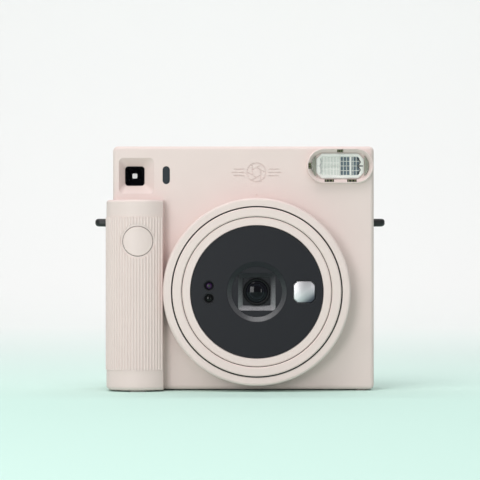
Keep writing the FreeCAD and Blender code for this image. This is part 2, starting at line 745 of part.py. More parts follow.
# ---------------------------------------------------------------- grip
def grip_outline(name, inset, low, high, back):
    """The grip's plan: straight sides, a wide front curve and a tighter left corner."""
    body = doc.addObject("PartDesign::Body", name)
    sketch = sketch_in(body, name + "_plan", "xy", (0, 0, low))
    curve, corner = d.grip_curve - inset, d.grip_corner - inset
    cx, cy = d.grip_centre, d.grip_front + d.grip_curve
    right, left = d.grip_right - inset, LEFT + inset
    kx, ky = grip_corner_centre()
    reach = float(curve)
    right_y = float(cy) - math.sqrt(reach**2 - (float(right) - float(cx)) ** 2)
    toward = Vector(float(kx) - float(cx), float(ky) - float(cy), 0).normalize()
    joint = Vector(float(cx), float(cy), 0) + toward * reach
    front = math.degrees(math.atan2(toward.y, toward.x))
    start = math.degrees(math.atan2(right_y - float(cy), float(right) - float(cx)))
    axis = Vector(0, 0, 1)
    back_right, back_left = Vector(
        float(right), float(back), 0
    ), Vector(float(left), float(back), 0)
    corner_end = Vector(float(left), float(ky), 0)
    sketch.addGeometry([
        Part.LineSegment(back_right, Vector(float(right), right_y, 0)),
        Part.ArcOfCircle(Part.Circle(Vector(float(cx), float(cy), 0), axis, reach),
                         math.radians(front), math.radians(start)),
        Part.ArcOfCircle(Part.Circle(Vector(float(kx), float(ky), 0), axis, float(corner)),
                         math.radians(180), math.radians(front + 360)),
        Part.LineSegment(corner_end, back_left),
        Part.LineSegment(back_left, back_right),
    ], False)
    for kind, a, end_a, b, end_b in (
        ("Coincident", 0, 2, 1, 2), ("Tangent", 1, 1, 2, 2), ("Tangent", 2, 1, 3, 1),
        ("Coincident", 3, 2, 4, 1), ("Coincident", 4, 2, 0, 1),
    ):
        sketch.addConstraint(Sketcher.Constraint(kind, a, end_a, b, end_b))
    hold(sketch, "DistanceX", -1, 1, 1, 3, cx)
    hold(sketch, "DistanceY", -1, 1, 1, 3, cy)
    hold(sketch, "Radius", 1, curve)
    hold(sketch, "Radius", 2, corner)
    sketch.addConstraint(Sketcher.Constraint("Vertical", 0))
    sketch.addConstraint(Sketcher.Constraint("Vertical", 3))
    sketch.addConstraint(Sketcher.Constraint("Horizontal", 4))
    hold(sketch, "DistanceX", -1, 1, 0, 1, right)
    hold(sketch, "DistanceX", -1, 1, 3, 1, left)
    hold(sketch, "DistanceY", -1, 1, 0, 1, back)
    pad(body, sketch, size(high) - low, name + "_pad")
    return body


def grip_corner_centre():
    """Centre of the left corner's arc, which touches the front curve and the left side."""
    kx = LEFT + d.grip_corner
    across = kx - d.grip_centre
    between = d.grip_curve - d.grip_corner
    ky = d.grip_front + d.grip_curve - root(between * between - across * across)
    return kx, ky


def rib_bank(name, centre, radius, first, count):
    """Vertical ribs round one arc of the grip: one rib, and a polar pattern of it."""
    body = doc.addObject("PartDesign::Body", name)
    sketch = sketch_in(body, name + "_rib", "xy", (centre[0], centre[1], d.rib_low))
    angle = math.radians(first)
    reach = radius - d.rib_depth
    circle(sketch, reach * math.cos(angle), reach * math.sin(angle), d.rib_radius)
    pad(body, sketch, d.rib_high - d.rib_low, name + "_pad")
    doc.recompute()
    pattern = body.newObject("PartDesign::PolarPattern", name + "_pattern")
    pattern.Originals = [body.Tip]
    pattern.Axis = (sketch, ["N_Axis"])
    pattern.Reversed = True
    pattern.Angle = math.degrees(float(d.rib_pitch) / float(radius)) * (count - 1)
    pattern.Occurrences = count
    body.Tip = pattern
    return body


def side_ribs(name, low, high, front, count):
    """Ribs on the grip's flat left side."""
    body = doc.addObject("PartDesign::Body", name)
    sketch = sketch_in(body, name + "_rib", "xy", (0, 0, low))
    circle(sketch, LEFT + d.rib_depth, front, d.rib_radius)
    pad(body, sketch, high - low, name + "_pad")
    doc.recompute()
    pattern = body.newObject("PartDesign::LinearPattern", name + "_pattern")
    pattern.Originals = [body.Tip]
    pattern.Direction = (sketch, ["V_Axis"])
    pattern.Length = float(d.rib_pitch) * (count - 1)
    pattern.Occurrences = count
    body.Tip = pattern
    return body


SIDE_RIB_FRONT = size(-15.15)
SIDE_RIBS = 12


def make_grip_shell():
    cx, cy = d.grip_centre, d.grip_front + d.grip_curve
    kx, ky = grip_corner_centre()
    outer = grip_outline("grip_outer", size(0), BASE, d.grip_top, d.split_plane)
    for height, radius in ((d.grip_top, 1.3), (BASE, 2.2)):
        outer = rounded(outer, radius, lambda p: near(p.z, height) and p.y < 7.9
                        and p.x < float(d.grip_right) - 0.1, whole=False)
    inner = grip_outline(
        "grip_inner", d.grip_wall, BASE + d.grip_wall, d.grip_top - d.grip_wall, d.split_plane + 1
    )
    surface = grip_outline("grip_surface", size(0), BASE + 3, d.grip_top - 3, d.split_plane)
    right_angle = -90 + math.degrees(
        math.asin((float(d.grip_right) - float(cx)) / float(d.grip_curve))
    )
    pitch = math.degrees(float(d.rib_pitch) / float(d.grip_curve))
    first = right_angle - 2.6
    joint_angle = math.degrees(math.atan2(float(ky) - float(cy), float(kx) - float(cx)))
    count = int((first - joint_angle) / pitch) + 1
    front_ribs = rib_bank("grip_front_ribs", (cx, cy), d.grip_curve, first, count)
    left_over = math.radians(first - pitch * (count - 1) - joint_angle) * float(d.grip_curve)
    corner_first = joint_angle - math.degrees(
        (float(d.rib_pitch) - left_over) / float(d.grip_corner)
    )
    corner_pitch = math.degrees(float(d.rib_pitch) / float(d.grip_corner))
    corner_count = int((corner_first + 180) / corner_pitch) + 1
    corner_ribs = rib_bank("grip_corner_ribs", (kx, ky), d.grip_corner, corner_first, corner_count)
    upper_ribs = side_ribs(
        "grip_side_ribs", d.battery_high + d.fit_gap, d.rib_high, SIDE_RIB_FRONT, SIDE_RIBS
    )
    button_clear = rod(
        "rib_clear", "y", d.button_radius + 1.25, (d.button_at_x, d.button_at_z), -40, 0
    )
    ribs = cut("grip_ribs", fuse("grip_rib_bank", front_ribs, corner_ribs, upper_ribs),
               button_clear, surface)
    shell = cut("grip_hollow", outer, inner)
    cable_pass = box("grip_cable_pass", (d.grip_right - 5, d.grip_right + 1), (-8, 4), (74, 86))
    boss = rod(
        "grip_boss", "y", BOSS_RADIUS, (SCREWS["low_left"][0], SCREWS["low_left"][1]), -10,
        d.split_plane,
    )
    web = box(
        "grip_boss_web", (SCREWS["low_left"][0] - 1.5, SCREWS["low_left"][0] + 1.5),
        (-10, d.split_plane), (BASE + 1, 5),
    )
    thread = rod(
        "grip_thread", "y", THREAD_RADIUS, (SCREWS["low_left"][0], SCREWS["low_left"][1]), -8,
        d.split_plane + 1,
    )
    button_hole = rod(
        "button_hole", "y", d.button_radius + d.button_gap, (d.button_at_x, d.button_at_z), -40, -12
    )
    door_hole = box("battery_opening", (LEFT - 2, LEFT + d.grip_wall + 0.6),
                    (BATTERY_FRONT - d.fit_gap, d.battery_hinge_at_y + 1.7),
                    (d.battery_low - d.fit_gap, d.battery_high + d.fit_gap))
    eyes, pin_hole = battery_knuckles(shell_side=True)
    core = grip_outline(
        "grip_seam_core", d.seam, BASE + d.seam, d.grip_top - d.seam, d.split_plane + 2
    )
    seam = seam_groove(
        "grip_seam", core, (LEFT - 3, d.grip_right - d.seam), (BASE - 1, d.grip_top + 1)
    )
    solid = fuse("grip_solid", shell, ribs, boss, web)
    opened = cut(
        "grip_opened", solid, thread, button_hole, door_hole, lug_slot("left_lug_slot", LEFT),
        cable_pass, seam,
    )
    return publish(cut("grip_shell", fuse("grip_with_eyes", opened, *eyes), pin_hole), "grip_shell")


BATTERY_FRONT = size(-15.9)
EYE_RADIUS, BATTERY_PIN = 1.05, 0.5
BATTERY_PIN_X = LEFT + 1.05


def battery_knuckles(shell_side):
    """Hinge eyes of the battery cover: outer pairs on the grip, middle ones on the cover."""
    eyes = []
    for i, (low, high) in enumerate(((12.0, 22.0), (57.0, 67.0))):
        spans = ((low, low + 3), (high - 3, high)) if shell_side else ((low + 3.15, high - 3.15),)
        for j, (a, b) in enumerate(spans):
            eyes.append(
                rod(
                    f"battery_eye_{i}{j}{shell_side}", "z", EYE_RADIUS,
                    (BATTERY_PIN_X, d.battery_hinge_at_y), a, b,
                )
            )
            if shell_side:
                web = (d.battery_hinge_at_y, d.battery_hinge_at_y + 2.0)
            else:
                web = (d.battery_hinge_at_y - 2.4, d.battery_hinge_at_y)
            eyes.append(box(f"battery_web_{i}{j}{shell_side}", (LEFT, LEFT + 1.5), web, (a, b)))
    bore = BATTERY_PIN if shell_side else BATTERY_PIN + 0.05
    hole = rod(
        f"battery_pin_hole_{shell_side}", "z", bore, (BATTERY_PIN_X, d.battery_hinge_at_y), 5, 75
    )
    return eyes, hole


def make_battery_cover():
    y = (BATTERY_FRONT, d.battery_hinge_at_y - 1.3)
    skin = plate(
        "battery_skin", (LEFT, LEFT + 1.5), y, (d.battery_low, d.battery_high), 1.0, along="x"
    )
    ribs = cut(
        "battery_ribs",
        side_ribs(
            "battery_rib_bank", d.battery_low + 1.2, d.battery_high - 1.2, SIDE_RIB_FRONT,
            SIDE_RIBS - 1,
        ),
        box("battery_rib_trim", (LEFT + 0.5, LEFT + 5), (-20, 10), (0, 100)),
    )
    nail = rod("battery_nail", "z", 3.0, (LEFT - 2.4, BATTERY_FRONT + 1.4), 34, 45)
    rim = box(
        "battery_rim", (LEFT + 1.4, LEFT + 2.6), (BATTERY_FRONT + 1.5, BATTERY_FRONT + 2.7),
        (16, 63),
    )
    eyes, hole = battery_knuckles(shell_side=False)
    solid = fuse("battery_solid", skin, ribs, rim, *eyes)
    publish(cut("battery_cover", solid, hole, nail), "battery_cover")
    pins = rod(
        "battery_cover_pin", "z", BATTERY_PIN, (BATTERY_PIN_X, d.battery_hinge_at_y), 12.0, 67.0
    )
    return publish(pins, "battery_cover_pin")


def make_batteries():
    """Two lithium cells, end to end, each with its raised positive cap, and their carrier."""
    cells, contacts = [], []
    low = d.battery_low + 1.6
    for i in range(2):
        start = low + i * (d.cell_length + 0.4)
        cells.append(
            turned(
                f"cell_{i}",
                [
                    (0, start), (d.cell_radius, start),
                    (d.cell_radius, start + d.cell_length - 1.2),
                    (3.2, start + d.cell_length - 1.2), (3.2, start + d.cell_length),
                    (0, start + d.cell_length),
                ],
                (d.cell_at_x, d.cell_at_y), "z",
            )
        )
    publish(group("lithium_cells", *cells), "lithium_cells")
    end = low + 2 * d.cell_length + 0.4
    for i, (a, b) in enumerate(((low - 1.0, low), (end, end + 0.8))):
        contacts.append(
            box(
                f"contact_{i}", (d.cell_at_x - 4.5, d.cell_at_x + 4.5),
                (d.cell_at_y - 4.5, d.cell_at_y + 4.5), (a, b),
            )
        )
    publish(group("battery_contacts", *contacts), "battery_contacts")
    block = box(
        "holder_block", (d.cell_at_x - 8.9, d.cell_at_x + 9.6),
        (d.cell_at_y - 9.4, d.cell_at_y + 9.4), (low - 2.4, end + 2.2),
    )
    room = box(
        "holder_room", (d.cell_at_x - 20, d.cell_at_x + 8.1),
        (d.cell_at_y - 8.0, d.cell_at_y + 8.0), (low - 1.0, end + 0.8),
    )
    clear = box(
        "holder_clear", (d.cell_at_x - 20, d.cell_at_x - 4),
        (BATTERY_FRONT - 2, BATTERY_FRONT + 3.4), (0, 90),
    )
    return publish(cut("battery_holder", block, room, clear), "battery_holder")


def make_shutter_button():
    """Round button whose face follows the grip's curve, its stem, spring and switch."""
    at = (d.button_at_x, d.button_at_z)
    blank = rod("button_blank", "y", d.button_radius, at, -40, d.grip_front + 5.2)
    face = grip_outline(
        "button_face", size(0.05), d.button_at_z - 10, d.button_at_z + 10, d.split_plane
    )
    cap = rounded(common("button_cap", blank, face), 0.5, lambda p: p.y < float(d.grip_front) + 4.6)
    skirt = rod(
        "button_hollow", "y", d.button_radius - 1.4, at, d.grip_front + 3.4, d.grip_front + 6
    )
    stem = rod("button_stem", "y", 1.6, at, d.grip_front + 2, d.grip_front + 9.2)
    publish(fuse("shutter_button", cut("button_shell", cap, skirt), stem), "shutter_button")
    coil_low, coil_high = float(d.grip_front) + 3.6, float(d.grip_front) + 9.0
    coil = doc.addObject("Part::Feature", "button_spring")
    helix = Part.makeHelix(1.1, coil_high - coil_low, 3.2)
    wire = Part.Wire(Part.Circle(Vector(3.2, 0, 0), Vector(0, 1, 0), 0.25).toShape())
    coil.Shape = Part.Wire(helix).makePipeShell([wire], True, True)
    coil.Placement = Placement(Vector(float(at[0]), coil_low, float(at[1])), DIRECTIONS["y"])
    publish(coil, "button_spring")
    y = d.grip_front + 9.4
    board = box(
        "switch_board", (d.button_at_x - 8, d.button_at_x + 8), (y + 2.6, y + 3.8),
        (d.button_at_z - 3.7, d.button_at_z + 6),
    )
    switch = box(
        "switch_case", (d.button_at_x - 3, d.button_at_x + 3), (y + 2.1, y + 2.6),
        (d.button_at_z - 3, d.button_at_z + 3),
    )
    plunger = rod("switch_plunger", "y", 1.2, at, y + 1.5, y + 2.2)
    seat = ring("spring_seat", 4.4, 2.4, (y - 0.1, y + 0.7), at)
    posts = [
        box(
            f"switch_post_{i}", (d.button_at_x + s - 0.7, d.button_at_x + s + 0.7), (y, y + 2.7),
            (d.button_at_z - 3, d.button_at_z + 3),
        )
        for i, s in enumerate((-4.4, 4.4))
    ]
    publish(fuse("release_switch", board, switch, plunger, seat, *posts), "release_switch")


# ---------------------------------------------------------------- power ring and lens
def make_power_ring():
    front, bore, outer = d.ring_front, d.ring_bore, d.ring_radius
    ring_body = turned(
        "ring_blank",
        [
            (bore + 0.5, front), (outer - 0.5, front), (outer, front + 0.5), (outer, front + 3.4),
            (d.sleeve_radius, front + 3.4), (d.sleeve_radius, d.panel_front + 13),
            (bore, d.panel_front + 13), (bore, front + 0.5),
        ],
    )
    slots = [cam_slot(f"cam_slot_{i}", 90 + 120 * i) for i in range(3)]
    return publish(cut("power_ring", ring_body, *slots), "power_ring")


PIN_AT_Y = size(-4.6)


def cam_slot(name, pin_angle):
    """A helical slot along the cam pin's way: a chain of round ends and bars."""
    steps, half_width = 12, float(d.pin_radius + d.cam_clearance)
    inner, outer = float(d.ring_bore) - 1, float(d.sleeve_radius) + 1
    centre = Vector(float(d.lens_at_x), 0, float(d.lens_at_z))
    places = []
    for i in range(steps + 1):
        share = -0.02 + 1.04 * i / steps
        angle = math.radians(pin_angle - float(d.cam_turn) * share)
        places.append(
            (
                Vector(math.cos(angle), 0, math.sin(angle)),
                float(PIN_AT_Y) - float(d.carrier_travel) * share,
            )
        )
    pieces = []
    for outward, y in places:
        foot = centre + outward * inner + Vector(0, y, 0)
        pieces.append(Part.makeCylinder(half_width, outer - inner, foot, outward))
    for (out_a, y_a), (out_b, y_b) in zip(places, places[1:]):
        outward = (out_a + out_b).normalize()
        a = centre + out_a * inner + Vector(0, y_a, 0)
        b = centre + out_b * inner + Vector(0, y_b, 0)
        reach = outer / inner
        length = (b - a).Length * reach
        turn = Rotation((b - a), Vector(), outward, "XZY")
        bar = Part.makeBox(
            length, 2 * half_width, outer - inner, Vector(-length / 2, -half_width, 0)
        )
        bar.Placement = Placement((a + b) / 2, turn)
        pieces.append(bar)
    obj = doc.addObject("Part::Feature", name)
    obj.Shape = pieces[0].multiFuse(pieces[1:]).removeSplitter()
    return obj


def make_guide_tube():
    """Fixed tube with three straight slots that stop the cam pins from turning, and its flange."""
    front = d.ring_front + 3.8
    flange = d.chamber_front - d.chamber_wall
    tube = turned("guide_blank", [
        (d.guide_bore, front), (d.guide_radius, front), (d.guide_radius, flange - 2),
        (d.guide_radius + 2.4, flange - 2), (d.guide_radius + 2.4, flange), (d.guide_bore, flange),
    ])
    slots = []
    for i in range(3):
        slot = box(
            f"guide_slot_{i}", (0, 6), (PIN_AT_Y - d.carrier_travel - 1.7, PIN_AT_Y + 1.7),
            (-1.7, 1.7),
        )
        turn = Rotation(Vector(0, 1, 0), -(90 + 120 * i))
        reach = float(d.guide_bore) - 2
        slot.Placement = Placement(Vector(), turn)
        corner = turn.multVec(Vector(reach, 0, -1.7))
        place(
            slot,
            (d.lens_at_x + corner.x, PIN_AT_Y - d.carrier_travel - 1.7, d.lens_at_z + corner.z),
        )
        slots.append(slot)
    return publish(cut("lens_guide_tube", tube, *slots), "lens_guide_tube")


def make_carrier():
    front, back = d.ring_front + 2.7, PIN_AT_Y + 3.6
    tube = ring("carrier_tube", d.carrier_radius, d.carrier_bore, (front, back))
    holes, pins = [], []
    for i in range(3):
        angle = 90 + 120 * i
        turn = Rotation(
            Vector(0, 0, 1), Vector(math.cos(math.radians(angle)), 0, math.sin(math.radians(angle)))
        )
        for kind, low, high, store in (("hole", 30.0, 40.0, holes), ("pin", 34.2, 40.4, pins)):
            item = doc.addObject("Part::Cylinder", f"cam_{kind}_{i}")
            bind(item, "Radius", d.pin_radius)
            item.Height = high - low
            item.Placement = Placement(Vector(), turn)
            start = turn.multVec(Vector(0, 0, low))
            store.append(place(item, (d.lens_at_x + start.x, PIN_AT_Y, d.lens_at_z + start.z)))
    publish(cut("lens_carrier", tube, *holes), "lens_carrier")
    return publish(group("cam_pins", *pins), "cam_pins")


def make_lens_barrel():
    front = d.ring_front + 0.2
    flange_back = d.ring_front + 2.6
    seat = d.ring_front + 2.9
    barrel = turned(
        "barrel_blank",
        [
            (d.barrel_bore + 0.2, front), (d.carrier_radius - 0.5, front),
            (d.carrier_radius, front + 0.5), (d.carrier_radius, flange_back),
            (d.barrel_radius, flange_back), (d.barrel_radius, PIN_AT_Y - 1.0),
            (d.barrel_bore, PIN_AT_Y - 1.0), (d.barrel_bore, seat + 1.0),
            (d.barrel_bore - 1.6, seat + 1.0), (d.barrel_bore - 1.6, seat),
            (d.barrel_bore + 0.2, seat),
        ],
    )
    return publish(barrel, "lens_barrel")


FACE_FRONT = d.ring_front + 0.9


def make_face_plate():
    """Dark front plate with the lens well, two metering holes and the mirror's pocket."""
    front, back = FACE_FRONT, d.ring_front + 2.9
    blank = turned(
        "face_blank",
        [
            (14.6, front), (d.barrel_bore - 0.05, front), (d.barrel_bore - 0.05, back),
            (12.2, back), (12.2, front + 1.7),
        ],
    )
    holes = [
        lens_rod(f"meter_hole_{i}", 2.65, -23.0, z, (front - 1, back + 1))
        for i, z in enumerate((2.9, -3.2))
    ]
    centre = (d.lens_at_x + 22.9, d.lens_at_z)
    pocket = clipped("mirror_pocket", centre, d.mirror_side + 0.5, d.mirror_side + 0.5,
                     d.mirror_corner + 0.1, (front - 1, front + 1.3))
    publish(cut("face_plate", blank, *holes, pocket), "face_plate")
    glass = clipped("mirror_glass", centre, d.mirror_side, d.mirror_side, d.mirror_corner,
                    (front - 0.5, front + 1.3))
    ball = doc.addObject("Part::Sphere", "mirror_ball")
    bind(ball, "Radius", d.mirror_curve)
    place(ball, (centre[0], front + 0.1 + d.mirror_curve, centre[1]))
    publish(common("selfie_mirror", glass, ball), "selfie_mirror")
    windows = [
        turned(
            f"meter_window_{i}",
            [(0, front + 1.2), (1.9, front + 0.9), (2.6, front + 1.2), (2.6, back), (0, back)],
            (d.lens_at_x - 23.0, d.lens_at_z + z),
        )
        for i, z in enumerate((2.9, -3.2))
    ]
    publish(group("meter_windows", *windows), "meter_windows")


def make_lens_hood():
    """Round insert with a square funnel that narrows towards the front lens."""
    front, back = FACE_FRONT + 1.75, FACE_FRONT + 8.2
    blank = turned(
        "hood_blank", [(0, front), (12.15, front), (12.15, back - 2), (10.4, back), (0, back)]
    )
    x, z = float(d.lens_at_x), float(d.lens_at_z)
    funnel = doc.addObject("Part::Loft", "hood_funnel")
    funnel.Sections = [
        rounded_square("hood_mouth", (x - 9.1, x + 9.1), (z - 9.1, z + 9.1), 1.6, front - 0.02),
        rounded_square("hood_throat", (x - 6.6, x + 6.6), (z - 6.6, z + 6.6), 0.6, front + 4.6),
    ]
    funnel.Solid = True
    funnel.Ruled = True
    floor = rod("hood_floor", "y", 6.55, (d.lens_at_x, d.lens_at_z), front + 4, back + 1)
    return publish(cut("lens_hood", blank, funnel, floor), "lens_hood")


def make_optics():
    """Front and rear elements, their cells, and the two-blade shutter between them."""
    start = FACE_FRONT + 6.6
    front_lens = dome("front_lens", 6.4, 1.7, start - 1.6, start + 1.6, -1)
    publish(front_lens, "front_lens")
    cell = turned(
        "front_cell",
        [
            (4.6, start + 1.6), (10.0, start + 1.6), (10.0, start + 2.05), (31.8, start + 2.05),
            (31.8, start + 3.6), (4.6, start + 3.6),
        ],
    )
    pivots = [
        lens_rod(f"blade_pivot_{i}", 0.8, x, -9.5, (start + 3.5, start + 6.0))
        for i, x in enumerate((-8.0, 8.0))
    ]
    relay = box(
        "shutter_magnet_coil", (d.lens_at_x + 14, d.lens_at_x + 22), (start + 3.6, start + 8.2),
        (d.lens_at_z + 8, d.lens_at_z + 18),
    )
    publish(fuse("shutter_base", cell, *pivots, relay), "shutter_base")
    base = start + 3.8
    for side, name, offset in ((-1, "shutter_blade_left", 0.0), (1, "shutter_blade_right", 0.7)):
        low = base + offset
        high = low + d.blade_thickness
        eye = lens_rod(name + "_eye", 2.4, 8.0 * side, -9.5, (low, high))
        leaf = lens_rod(name + "_leaf", 6.6, 1.6 * side, 0.6, (low, high))
        arm = prism(
            name + "_arm", "xz",
            [
                (d.lens_at_x + 10.0 * side, d.lens_at_z - 8.4),
                (d.lens_at_x + 6.4 * side, d.lens_at_z + 4.4),
                (d.lens_at_x - 3.0 * side, d.lens_at_z - 4.0),
                (d.lens_at_x + 7.2 * side, d.lens_at_z - 11.5),
            ],
            low, high,
        )
        pivot = lens_rod(name + "_bore", 0.85, 8.0 * side, -9.5, (low - 1, high + 1))
        publish(cut(name, fuse(name + "_sheet", eye, leaf, arm), pivot), name)
    cover = turned(
        "shutter_cover_blank",
        [(5.4, base + 2.3), (12.6, base + 2.3), (12.6, base + 3.1), (5.4, base + 3.1)],
    )
    ears = [
        lens_rod(f"cover_ear_{i}", 2.6, x, -9.5, (base + 2.3, base + 3.1))
        for i, x in enumerate((-8.0, 8.0))
    ]
    spacers = [
        box(
            f"cover_spacer_{i}", (d.lens_at_x + x - 1.2, d.lens_at_x + x + 1.2),
            (start + 3.6, base + 2.4), (d.lens_at_z + z - 1.2, d.lens_at_z + z + 1.2),
        )
        for i, (x, z) in enumerate(((0, 11.3), (0, -15.0)))
    ]
    strap = box(
        "cover_strap", (d.lens_at_x - 1.2, d.lens_at_x + 1.2), (base + 2.3, base + 3.1),
        (d.lens_at_z - 16.2, d.lens_at_z - 8),
    )
    rear = base + 3.1
    cell = turned(
        "rear_cell",
        [
            (5.6, rear), (9.6, rear), (9.6, rear + 2.6), (7.05, rear + 2.6), (7.05, rear + 0.2),
            (5.6, rear + 0.2),
        ],
    )
    publish(fuse("shutter_cover", cover, *ears, *spacers, strap, cell), "shutter_cover")
    return publish(dome("rear_lens", 7.0, 1.5, rear + 0.2, rear + 2.4, 1), "rear_lens")


def dome(name, radius, bulge, flat, edge, facing):
    """A lens element: a flat rim and a spherical cap on the side that facing points to."""
    body = rod(name + "_rim", "y", radius, (d.lens_at_x, d.lens_at_z), flat, edge)
    sphere = doc.addObject("Part::Sphere", name + "_sphere")
    ball = (radius * radius + bulge * bulge) / (2 * bulge)
    sphere.Radius = float(ball)
    centre = (flat - bulge + ball + 0.6) if facing < 0 else (edge + bulge - ball - 0.6)
    place(sphere, (d.lens_at_x, centre, d.lens_at_z))
    return common(
        name,
        body if facing == 0 else fuse(
            name + "_blank", body,
            rod(
                name + "_cap", "y", radius, (d.lens_at_x, d.lens_at_z),
                flat - bulge if facing < 0 else edge - 0.1,
                flat + 0.1 if facing < 0 else edge + bulge,
            ),
        ),
        sphere,
    )


# ---------------------------------------------------------------- flash, finder, sensor
def make_flash():
    front = d.flash_boss_front + 1.1
    lens = stadium(
        "flash_glass", d.flash_at_x, d.flash_at_z, d.flash_width - 0.1, d.flash_height - 0.1,
        (front, front + 1.9),
    )
    lens = rounded(lens, 0.45, lambda p: near(p.y, front))
    tabs = [box(f"flash_tab_{i}", *span) for i, span in enumerate(flash_tabs(front + 0.1))]
    publish(fuse("flash_cover", lens, *tabs), "flash_cover")
    x, z = d.flash_at_x, d.flash_at_z
    mouth, joint, back = FLASH_SEAT + 0.05, INNER_FRONT + 0.05, INNER_FRONT + 8.45
    flange = clipped("reflector_flange", (x, z), d.flash_frame_width, d.flash_frame_height,
                     d.flash_frame_corner - 0.1, (mouth, joint + 0.1))
    trough = prism("reflector_trough", "yz", [
        (joint, z - 5.3), (mouth + 3, z - 5.0), (back - 1, z - 2.6), (back, z),
        (back - 1, z + 2.6), (mouth + 3, z + 5.0), (joint, z + 5.3),
    ], x - 10.2, x + 10.2)
    hollow = prism("reflector_hollow", "yz", [
        (mouth - 1, z - 4.7), (mouth + 3, z - 4.4), (back - 1.8, z - 2.2), (back - 0.8, z),
        (back - 1.8, z + 2.2), (mouth + 3, z + 4.4), (mouth - 1, z + 4.7),
    ], x - 9.6, x + 9.6)
    tube_hole = rod("flash_tube_hole", "x", 1.65, (back - 3.6, z), x - 15, x + 15)
    reflector = cut("flash_reflector", fuse("reflector_outer", flange, trough), hollow, tube_hole)
    publish(reflector, "flash_reflector")
    publish(rod("flash_tube_glass", "x", 1.5, (back - 3.6, z), x - 12.4, x + 12.4), "flash_tube")
    capacitor = rounded(
        rod("capacitor_can", "z", 5.5, (55.9, -5.0), 70, 98), 0.8,
        lambda p: near(p.z, 70) or near(p.z, 98),
    )
    publish(capacitor, "flash_capacitor")


def make_finder():
    x, z = d.finder_at_x, d.finder_at_z
    half = d.finder_window / 2
    front, back = d.panel_front + 4.2, d.back_face - 2.4
    publish(plate("finder_objective", (x - half + 0.05, x + half - 0.05), (front, front + 1.4),
                  (z - half + 0.05, z + half - 0.05), d.finder_corner - 0.05), "finder_objective")
    tube = plate(
        "finder_tube_block", (x - 6.3, x + 6.3), (front + 1.7, back - 0.1), (z - 6.3, z + 6.3), 1.4
    )
    passage = box("finder_tube_passage", (x - 4.4, x + 4.4), (front, back + 1), (z - 4.4, z + 4.4))
    mask = box("finder_mask", (x - 4.4, x + 4.4), (8, 8.6), (z - 4.4, z + 4.4))
    mask_hole = plate("finder_mask_hole", (x - 3.4, x + 3.4), (7, 9.5), (z - 3.4, z + 3.4), 0.6)
    tube = fuse(
        "finder_tube_all", cut("finder_tube_hollow", tube, passage),
        cut("finder_mask_sheet", mask, mask_hole),
    )
    publish(tube, "finder_tube")
    glass = plate(
        "eyepiece_glass", (x - 4.3, x + 4.3), (d.back_face - 2.2, d.back_face - 0.9),
        (z - 4.3, z + 4.3), 1.0,
    )
    publish(glass, "eyepiece_lens")
    frame = plate(
        "eyepiece_block", (x - 5.45, x + 5.45), (d.back_face - 2.4, d.back_face + 0.5),
        (z - 5.45, z + 5.45), 1.45,
    )
    frame = rounded(frame, 0.35, lambda p: near(p.y, d.back_face + 0.5))
    seat = plate(
        "eyepiece_seat", (x - 4.3, x + 4.3), (d.back_face - 2.2, d.back_face + 2),
        (z - 4.3, z + 4.3), 1.0,
    )
    sight = box(
        "eyepiece_sight", (x - 3.6, x + 3.6), (d.back_face - 3, d.back_face), (z - 3.6, z + 3.6)
    )
    publish(cut("eyepiece_frame", frame, seat, sight), "eyepiece_frame")
    window = stadium(
        "sensor_glass", d.sensor_at_x, d.sensor_at_z, 3.5, 8.7,
        (d.panel_front + 0.25, INNER_FRONT + 0.4),
    )
    publish(window, "light_sensor_window")


# ---------------------------------------------------------------- film chamber and drive
def make_film_chamber():
    half = d.chamber_width / 2
    x, wall = d.lens_at_x, d.chamber_wall
    outer = box(
        "chamber_block", (x - half - wall, x + half + wall),
        (d.chamber_front - wall, d.chamber_back), (d.chamber_low - wall, d.chamber_high + wall),
    )
    room = box(
        "chamber_room", (x - half, x + half), (d.chamber_front, d.chamber_back + 1),
        (d.chamber_low, d.chamber_high),
    )
    gate = plate(
        "chamber_gate", (x - d.gate_side / 2, x + d.gate_side / 2),
        (d.chamber_front - wall - 1, d.chamber_front + 1),
        (d.lens_at_z - d.gate_side / 2, d.lens_at_z + d.gate_side / 2), 1.0,
    )
    film = box("chamber_film_slot", (x - 37, x + 37), (d.film_plane - 1.0, d.film_plane + 1.0),
               (d.chamber_high - 1, d.chamber_high + wall + 1))
    claw = box(
        "chamber_claw_slot", (x - half - wall - 1, x - half + 1),
        (d.chamber_front + 1, d.chamber_front + 4), (20, 34),
    )
    return publish(cut("film_chamber", outer, room, gate, film, claw), "film_chamber")


def roller_places():
    reach = d.roller_radius + d.film_gap / 2
    return {"front": d.film_plane - reach, "rear": d.film_plane + reach}


